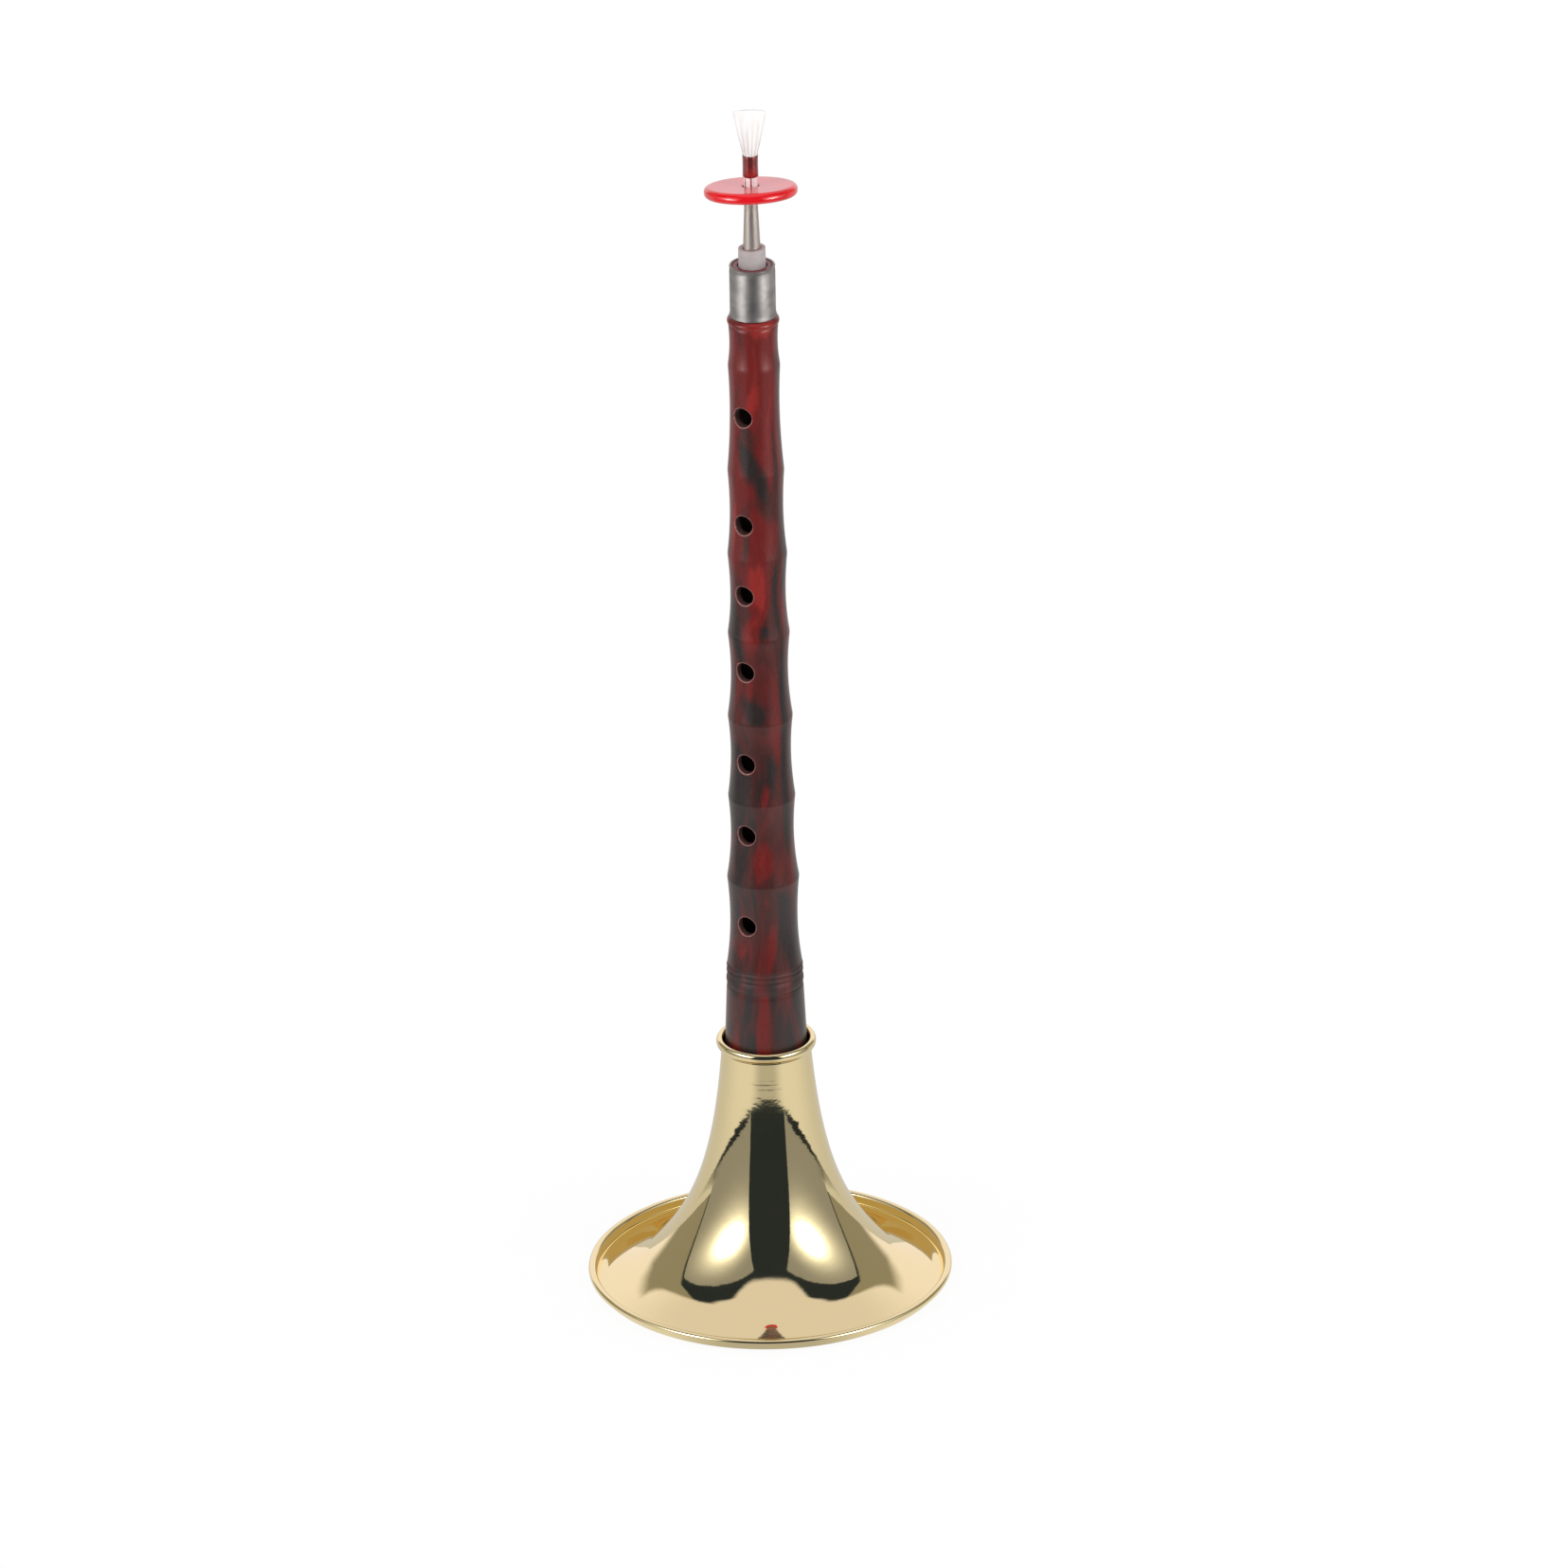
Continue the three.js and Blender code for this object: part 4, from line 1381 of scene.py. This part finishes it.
def table_material(studio):
    """White paper over a table: pure white to the camera but for a soft shadow near the bell."""
    material, tree, place = new_material("white_paper_table")
    reach = add_node(tree, "VectorMath", [place], "Value", operation="LENGTH")
    paper = add_node(tree, "BsdfDiffuse", [(0.9, 0.9, 0.9, 1)])
    white = add_node(tree, "Emission", [WHITE, 1])
    shade = add_node(tree, "MapRange", [reach, *SHADOW_REACH, studio.shade, 0], **SMOOTH)
    camera_look = add_node(tree, "MixShader", [shade, white, paper])
    # In reflections the paper ends in front of the bell, and the room shows beyond; to the sides
    # the dark table shows between them
    around, back, _ = facing(tree, place)
    ahead = add_node(tree, "MapRange", [back, 0, WHOLE_PAPER, 1, 0], **SMOOTH)
    edge = [reach, PAPER_REACH - TABLE_BLUR, PAPER_REACH + TABLE_BLUR]
    bare = add_node(tree, "MapRange", edge, **SMOOTH)
    end = [around, *radians(*STRIP_SIDES), PAPER_REACH, TABLE_REACH]
    end = add_node(tree, "MapRange", end, **SMOOTH)
    past = add_node(tree, "Math", [reach, end], operation="SUBTRACT")
    beyond = add_node(tree, "MapRange", [past, -TABLE_BLUR, TABLE_BLUR], **SMOOTH)
    open_share = add_node(tree, "Math", [ahead, beyond], operation="MULTIPLY")
    dark = add_node(tree, "Math", [ahead, bare], operation="MULTIPLY")
    front, aside = (
        add_node(tree, "MapRange", [around, *radians(*sides), *levels], **SMOOTH)
        for sides, levels in (FRONT_DIMMING, BACK_DIMMING)
    )
    bright = add_node(tree, "Math", [front, aside], operation="MULTIPLY")
    sheet = {0: dark, 6: opaque(studio.paper), 7: opaque(studio.room)}
    sheet = add_node(tree, "Emission", [add_node(tree, "Mix", sheet, **RGBA), bright])
    nothing = add_node(tree, "BsdfTransparent")
    mirrored = add_node(tree, "MixShader", [open_share, sheet, nothing])
    rays = add_node(tree, "LightPath").node.outputs
    other = add_node(tree, "MixShader", [rays["Is Glossy Ray"], paper, mirrored])
    shader = add_node(tree, "MixShader", [rays["Is Camera Ray"], other, camera_look])
    add_node(tree, "OutputMaterial", [shader])
    return material


def softbox_material(studio):
    """A softbox's cloth: dim at its edges, with the lamp's glow behind its inner side."""
    material, tree, place = new_material("softbox_cloth")
    # The object's own coordinates count in widths of the glow
    reach = add_node(tree, "VectorMath", [place], "Value", operation="LENGTH")
    square = add_node(tree, "Math", [reach, reach], operation="MULTIPLY")
    bright = studio.cloth
    for share, times in ((1, 1), (LAMP_SHARE, LAMP_TIMES)):
        fall = add_node(tree, "Math", [square, -(share**-2)], operation="MULTIPLY")
        glow = add_node(tree, "Math", [fall], operation="EXPONENT")
        glow = [glow, studio.glow * times, bright]
        bright = add_node(tree, "Math", glow, operation="MULTIPLY_ADD")
    # Between the metal's own folds the cloth evens out as the room does
    depth = [add_node(tree, "LightPath", output="Glossy Depth"), MIRRORED_ONCE]
    again = add_node(tree, "Math", depth, operation="GREATER_THAN")
    cloth = add_node(tree, "Emission", [WHITE, bright])
    even = add_node(tree, "Emission", [opaque(studio.folds)])
    add_node(tree, "OutputMaterial", [add_node(tree, "MixShader", [again, cloth, even])])
    return material


def studio_direction(azimuth, elevation):
    """A direction from the bell: degrees beside the camera, to the picture's right, and up."""
    side, up = math.radians(azimuth), math.radians(elevation)
    out = Vector((math.sin(side) * math.cos(up), -math.cos(side) * math.cos(up), math.sin(up)))
    return Matrix.Rotation(CAMERA_HEADING, 3, "Z") @ out


def flat_object(name, corners, material):
    """One flat face through four corners, marked as part of the studio."""
    mesh = bpy.data.meshes.new(name)
    mesh.from_pydata(corners, [], [(0, 1, 2, 3)])
    mesh.materials.append(material)
    sheet = bpy.data.objects.new(name, mesh)
    bpy.context.scene.collection.objects.link(sheet)
    return sheet


def add_softbox(name, side, cloth):
    """Stands a flat softbox beside the camera, facing the bell; it shows only in reflections."""
    out = studio_direction(side * SOFTBOX_FACING[0], SOFTBOX_FACING[1])
    across = studio_direction(side * SOFTBOX_FACING[0] + 90, 0)
    up = out.cross(across)

    def place(azimuth, elevation):
        along = studio_direction(side * azimuth, elevation)
        return along * SOFTBOX_DISTANCE / along.dot(out)

    glow = place(*GLOW)
    spread = [math.tan(math.radians(angle)) * glow.length for angle in GLOW_SPREAD]
    axes = Matrix((across * spread[0], up * spread[1], out)).transposed().to_4x4()
    turn = Matrix.Translation(glow) @ axes
    corners = [turn.inverted() @ place(*corner) for corner in SOFTBOX_CORNERS]
    box = flat_object(name, corners, cloth)
    box.matrix_world = turn
    for seen_by in ("camera", "diffuse", "transmission", "shadow"):
        setattr(box, f"visible_{seen_by}", False)


def add_lamp(name, side, power):
    """A square lamp that lights surfaces but isn't mirrored, aimed at the middle of the pipe."""
    data = bpy.data.lights.new(name, "AREA")
    data.size = LAMP_SIZE
    data.energy = power
    lamp = bpy.data.objects.new(name, data)
    bpy.context.scene.collection.objects.link(lamp)
    out = studio_direction(side * LAMP_PLACE[0], LAMP_PLACE[1])
    lamp.location = Vector((0, 0, LAMP_AIM)) + out * LAMP_DISTANCE
    lamp.rotation_euler = out.to_track_quat("Z", "Y").to_euler()
    lamp.visible_glossy = False


def add_camera():
    """The photograph's camera, turned so that the bell's foot falls in its place in the picture."""
    focal = PIXELS_PER_METRE * CAMERA_DISTANCE
    pixel = Vector((BELL_PIXEL[0] - PHOTO_SIDE / 2, PHOTO_SIDE / 2 - BELL_PIXEL[1]))
    across, up = Matrix.Rotation(-CAMERA_ROLL, 2) @ pixel / focal
    back = studio_direction(0, math.degrees(CAMERA_ELEVATION))
    place = Matrix.Translation(Vector((0, 0, BELL_POINT_HEIGHT)) + back * CAMERA_DISTANCE)
    heading = CAMERA_HEADING + math.atan(across / math.cos(CAMERA_ELEVATION))
    tip = math.pi / 2 - CAMERA_ELEVATION - math.atan(up)
    turn = Matrix.Rotation(heading, 4, "Z") @ Matrix.Rotation(tip, 4, "X")
    data = bpy.data.cameras.new("camera")
    data.sensor_width = SENSOR
    data.lens = focal * SENSOR / PHOTO_SIDE
    data.clip_end = 10 * CAMERA_DISTANCE
    camera = bpy.data.objects.new("camera", data)
    bpy.context.scene.collection.objects.link(camera)
    camera.matrix_world = place @ turn @ Matrix.Rotation(-CAMERA_ROLL, 4, "Z")
    bpy.context.scene.camera = camera


# Operators


class SUONA_OT_make_bell(bpy.types.Operator):
    """Spin the brass bell with its rolled rim and collar"""

    bl_idname = "suona.make_bell"
    bl_label = "Bell"

    def execute(self, context):
        scene = context.scene
        bell = scene.suona_bell
        seat = heights("bell")[1] - bell.collar - heights("pipe")[0]
        neck_inner = cone_radius(scene.suona_pipe, seat) + SEAT_GAP
        piece = turned("bell_spun", bell_profile(bell, neck_inner), BELL_SEGMENTS)
        dress(piece, "bell", "bell", "bell_brass", brass_material(scene.suona_colours, bell))
        return {"FINISHED"}


class SUONA_OT_make_pipe(bpy.types.Operator):
    """Mould the marbled pipe and drill its holes"""

    bl_idname = "suona.make_pipe"
    bl_label = "Pipe"

    def execute(self, context):
        pipe, colours = context.scene.suona_pipe, context.scene.suona_colours
        foot = heights("pipe")[0]
        points, kinds = pipe_mesh(pipe)
        piece = make_object("pipe_drilled", lifted(points, foot), sum(kinds, []))
        slots = [slot for slot, faces in enumerate(kinds) for _ in faces]
        piece.data.polygons.foreach_set("material_index", slots)
        skin = resin_material(colours, pipe, foot)
        inside = drilled_edge_material(colours), oiled_bore_material(colours)
        dress(piece, "pipe", "pipe", "pipe_resin", skin, *inside)
        return {"FINISHED"}


class SUONA_OT_make_ferrule(bpy.types.Operator):
    """Draw the satin metal ferrule over the pipe's tenon"""

    bl_idname = "suona.make_ferrule"
    bl_label = "Ferrule"

    def execute(self, context):
        low, high = heights("top_ferrule")
        profile = ferrule_profile(context.scene.suona_top, high - low)
        piece = turned("ferrule_drawn", profile, SMALL_SEGMENTS, low)
        finish = satin_nickel_material(context.scene.suona_colours)
        dress(piece, "top_ferrule", "pipe", "ferrule_nickel", finish)
        return {"FINISHED"}


class SUONA_OT_make_staple(bpy.types.Operator):
    """Draw the bright metal cone that carries the reed"""

    bl_idname = "suona.make_staple"
    bl_label = "Staple"

    def execute(self, context):
        low, high = heights("staple")
        profile = staple_profile(context.scene.suona_top, high - low)
        piece = turned("staple_drawn", profile, SMALL_SEGMENTS, low)
        disc = sum(heights("lip_disc")) / 2
        finish = bright_nickel_material(context.scene.suona_colours, disc)
        dress(piece, "staple", "staple", "staple_nickel", finish)
        return {"FINISHED"}


class SUONA_OT_make_sleeve(bpy.types.Operator):
    """Mould the soft sleeve that seals the staple in the pipe"""

    bl_idname = "suona.make_sleeve"
    bl_label = "Sleeve"

    def execute(self, context):
        low, high = heights("staple_sleeve")
        rings = sleeve_rings(context.scene.suona_top, high - low, low - heights("staple")[0])
        piece = skinned("sleeve_moulded", [lifted(ring, low) for ring in rings])
        finish = silicone_material(context.scene.suona_colours)
        dress(piece, "staple_sleeve", "staple", "sleeve_silicone", finish)
        return {"FINISHED"}


class SUONA_OT_make_lip_disc(bpy.types.Operator):
    """Mould the loose red disc that the player's lips rest on"""

    bl_idname = "suona.make_lip_disc"
    bl_label = "Lip disc"

    def execute(self, context):
        top = context.scene.suona_top
        piece = turned("lip_disc_moulded", disc_profile(top), 2 * SMALL_SEGMENTS)
        turn = Matrix.Rotation(top.disc_heading, 4, "Z") @ Matrix.Rotation(-top.disc_lean, 4, "X")
        piece.data.transform(Matrix.Translation((0, 0, sum(heights("lip_disc")) / 2)) @ turn)
        finish = disc_material(context.scene.suona_colours)
        dress(piece, "lip_disc", "lip_disc", "disc_plastic", finish)
        return {"FINISHED"}


class SUONA_OT_make_reed(bpy.types.Operator):
    """Press the reed and slip its lacquered collar on"""

    bl_idname = "suona.make_reed"
    bl_label = "Reed and collar"

    def execute(self, context):
        top, colours = context.scene.suona_top, context.scene.suona_colours
        low, high = heights("reed_collar")
        foot, tip = heights("reed")
        collar = turned("reed_collar_dipped", collar_profile(top, high - low), SMALL_SEGMENTS, low)
        dress(collar, "reed_collar", "reed", "collar_lacquer", lacquer_material(colours))
        rings = reed_rings(top, tip - foot, high - low)
        reed = skinned("reed_pressed", rings, REED_SHARP_ANGLE)
        paint_fold_shade(reed, top, high - low, tip - foot)
        turn = Matrix.Rotation(top.reed_heading, 4, "Z")
        reed.data.transform(Matrix.Translation((0, 0, foot)) @ turn)
        dress(reed, "reed", "reed", "reed_film", reed_material(colours))
        return {"FINISHED"}


class SUONA_OT_make_stage(bpy.types.Operator):
    """Set up the white table, the soft lamps, the softboxes and the camera"""

    bl_idname = "suona.make_stage"
    bl_label = "Studio"

    def execute(self, context):
        studio = context.scene.suona_studio
        context.scene.view_settings.view_transform = "Standard"
        studio_world(studio)
        add_camera()
        sides = ((-1, -1), (1, -1), (1, 1), (-1, 1))
        corners = [(x * TABLE_HALF, y * TABLE_HALF, 0) for x, y in sides]
        flat_object("table", corners, table_material(studio)).location.z = -TABLE_DROP
        cloth = softbox_material(studio)
        for name, side in (("left", -1), ("right", 1)):
            add_softbox(f"softbox_{name}", side, cloth)
            add_lamp(f"lamp_{name}", side, studio.lamp_power)
        return {"FINISHED"}


class SUONA_PT_maker(bpy.types.Panel):
    """Lists the pieces of the suona in the order in which they are made"""

    bl_label = "Suona"
    bl_idname = "SUONA_PT_maker"
    bl_space_type = "VIEW_3D"
    bl_region_type = "UI"
    bl_category = "Suona"

    def draw(self, context):
        for operator in OPERATORS:
            self.layout.operator(operator.bl_idname)
        for group in GROUPS:
            box = self.layout.box()
            settings = getattr(context.scene, group)
            for name in settings.__annotations__:
                box.prop(settings, name)


OPERATORS = (
    SUONA_OT_make_bell,
    SUONA_OT_make_pipe,
    SUONA_OT_make_ferrule,
    SUONA_OT_make_staple,
    SUONA_OT_make_sleeve,
    SUONA_OT_make_lip_disc,
    SUONA_OT_make_reed,
    SUONA_OT_make_stage,
)
GROUPS = {
    "suona_bell": SuonaBellSizes,
    "suona_pipe": SuonaPipeSizes,
    "suona_top": SuonaTopSizes,
    "suona_colours": SuonaColours,
    "suona_studio": SuonaStudio,
}


def register():
    for group in (*GROUPS.values(), *OPERATORS, SUONA_PT_maker):
        bpy.utils.register_class(group)
    for name, group in GROUPS.items():
        setattr(bpy.types.Scene, name, PointerProperty(type=group))


def unregister():
    for name in GROUPS:
        delattr(bpy.types.Scene, name)
    for group in (SUONA_PT_maker, *reversed(OPERATORS), *reversed(GROUPS.values())):
        bpy.utils.unregister_class(group)


def main():
    register()
    bpy.ops.suona.make_bell()
    bpy.ops.suona.make_pipe()
    bpy.ops.suona.make_ferrule()
    bpy.ops.suona.make_staple()
    bpy.ops.suona.make_sleeve()
    bpy.ops.suona.make_lip_disc()
    bpy.ops.suona.make_reed()
    bpy.ops.suona.make_stage()


if __name__ == "__main__":
    main()
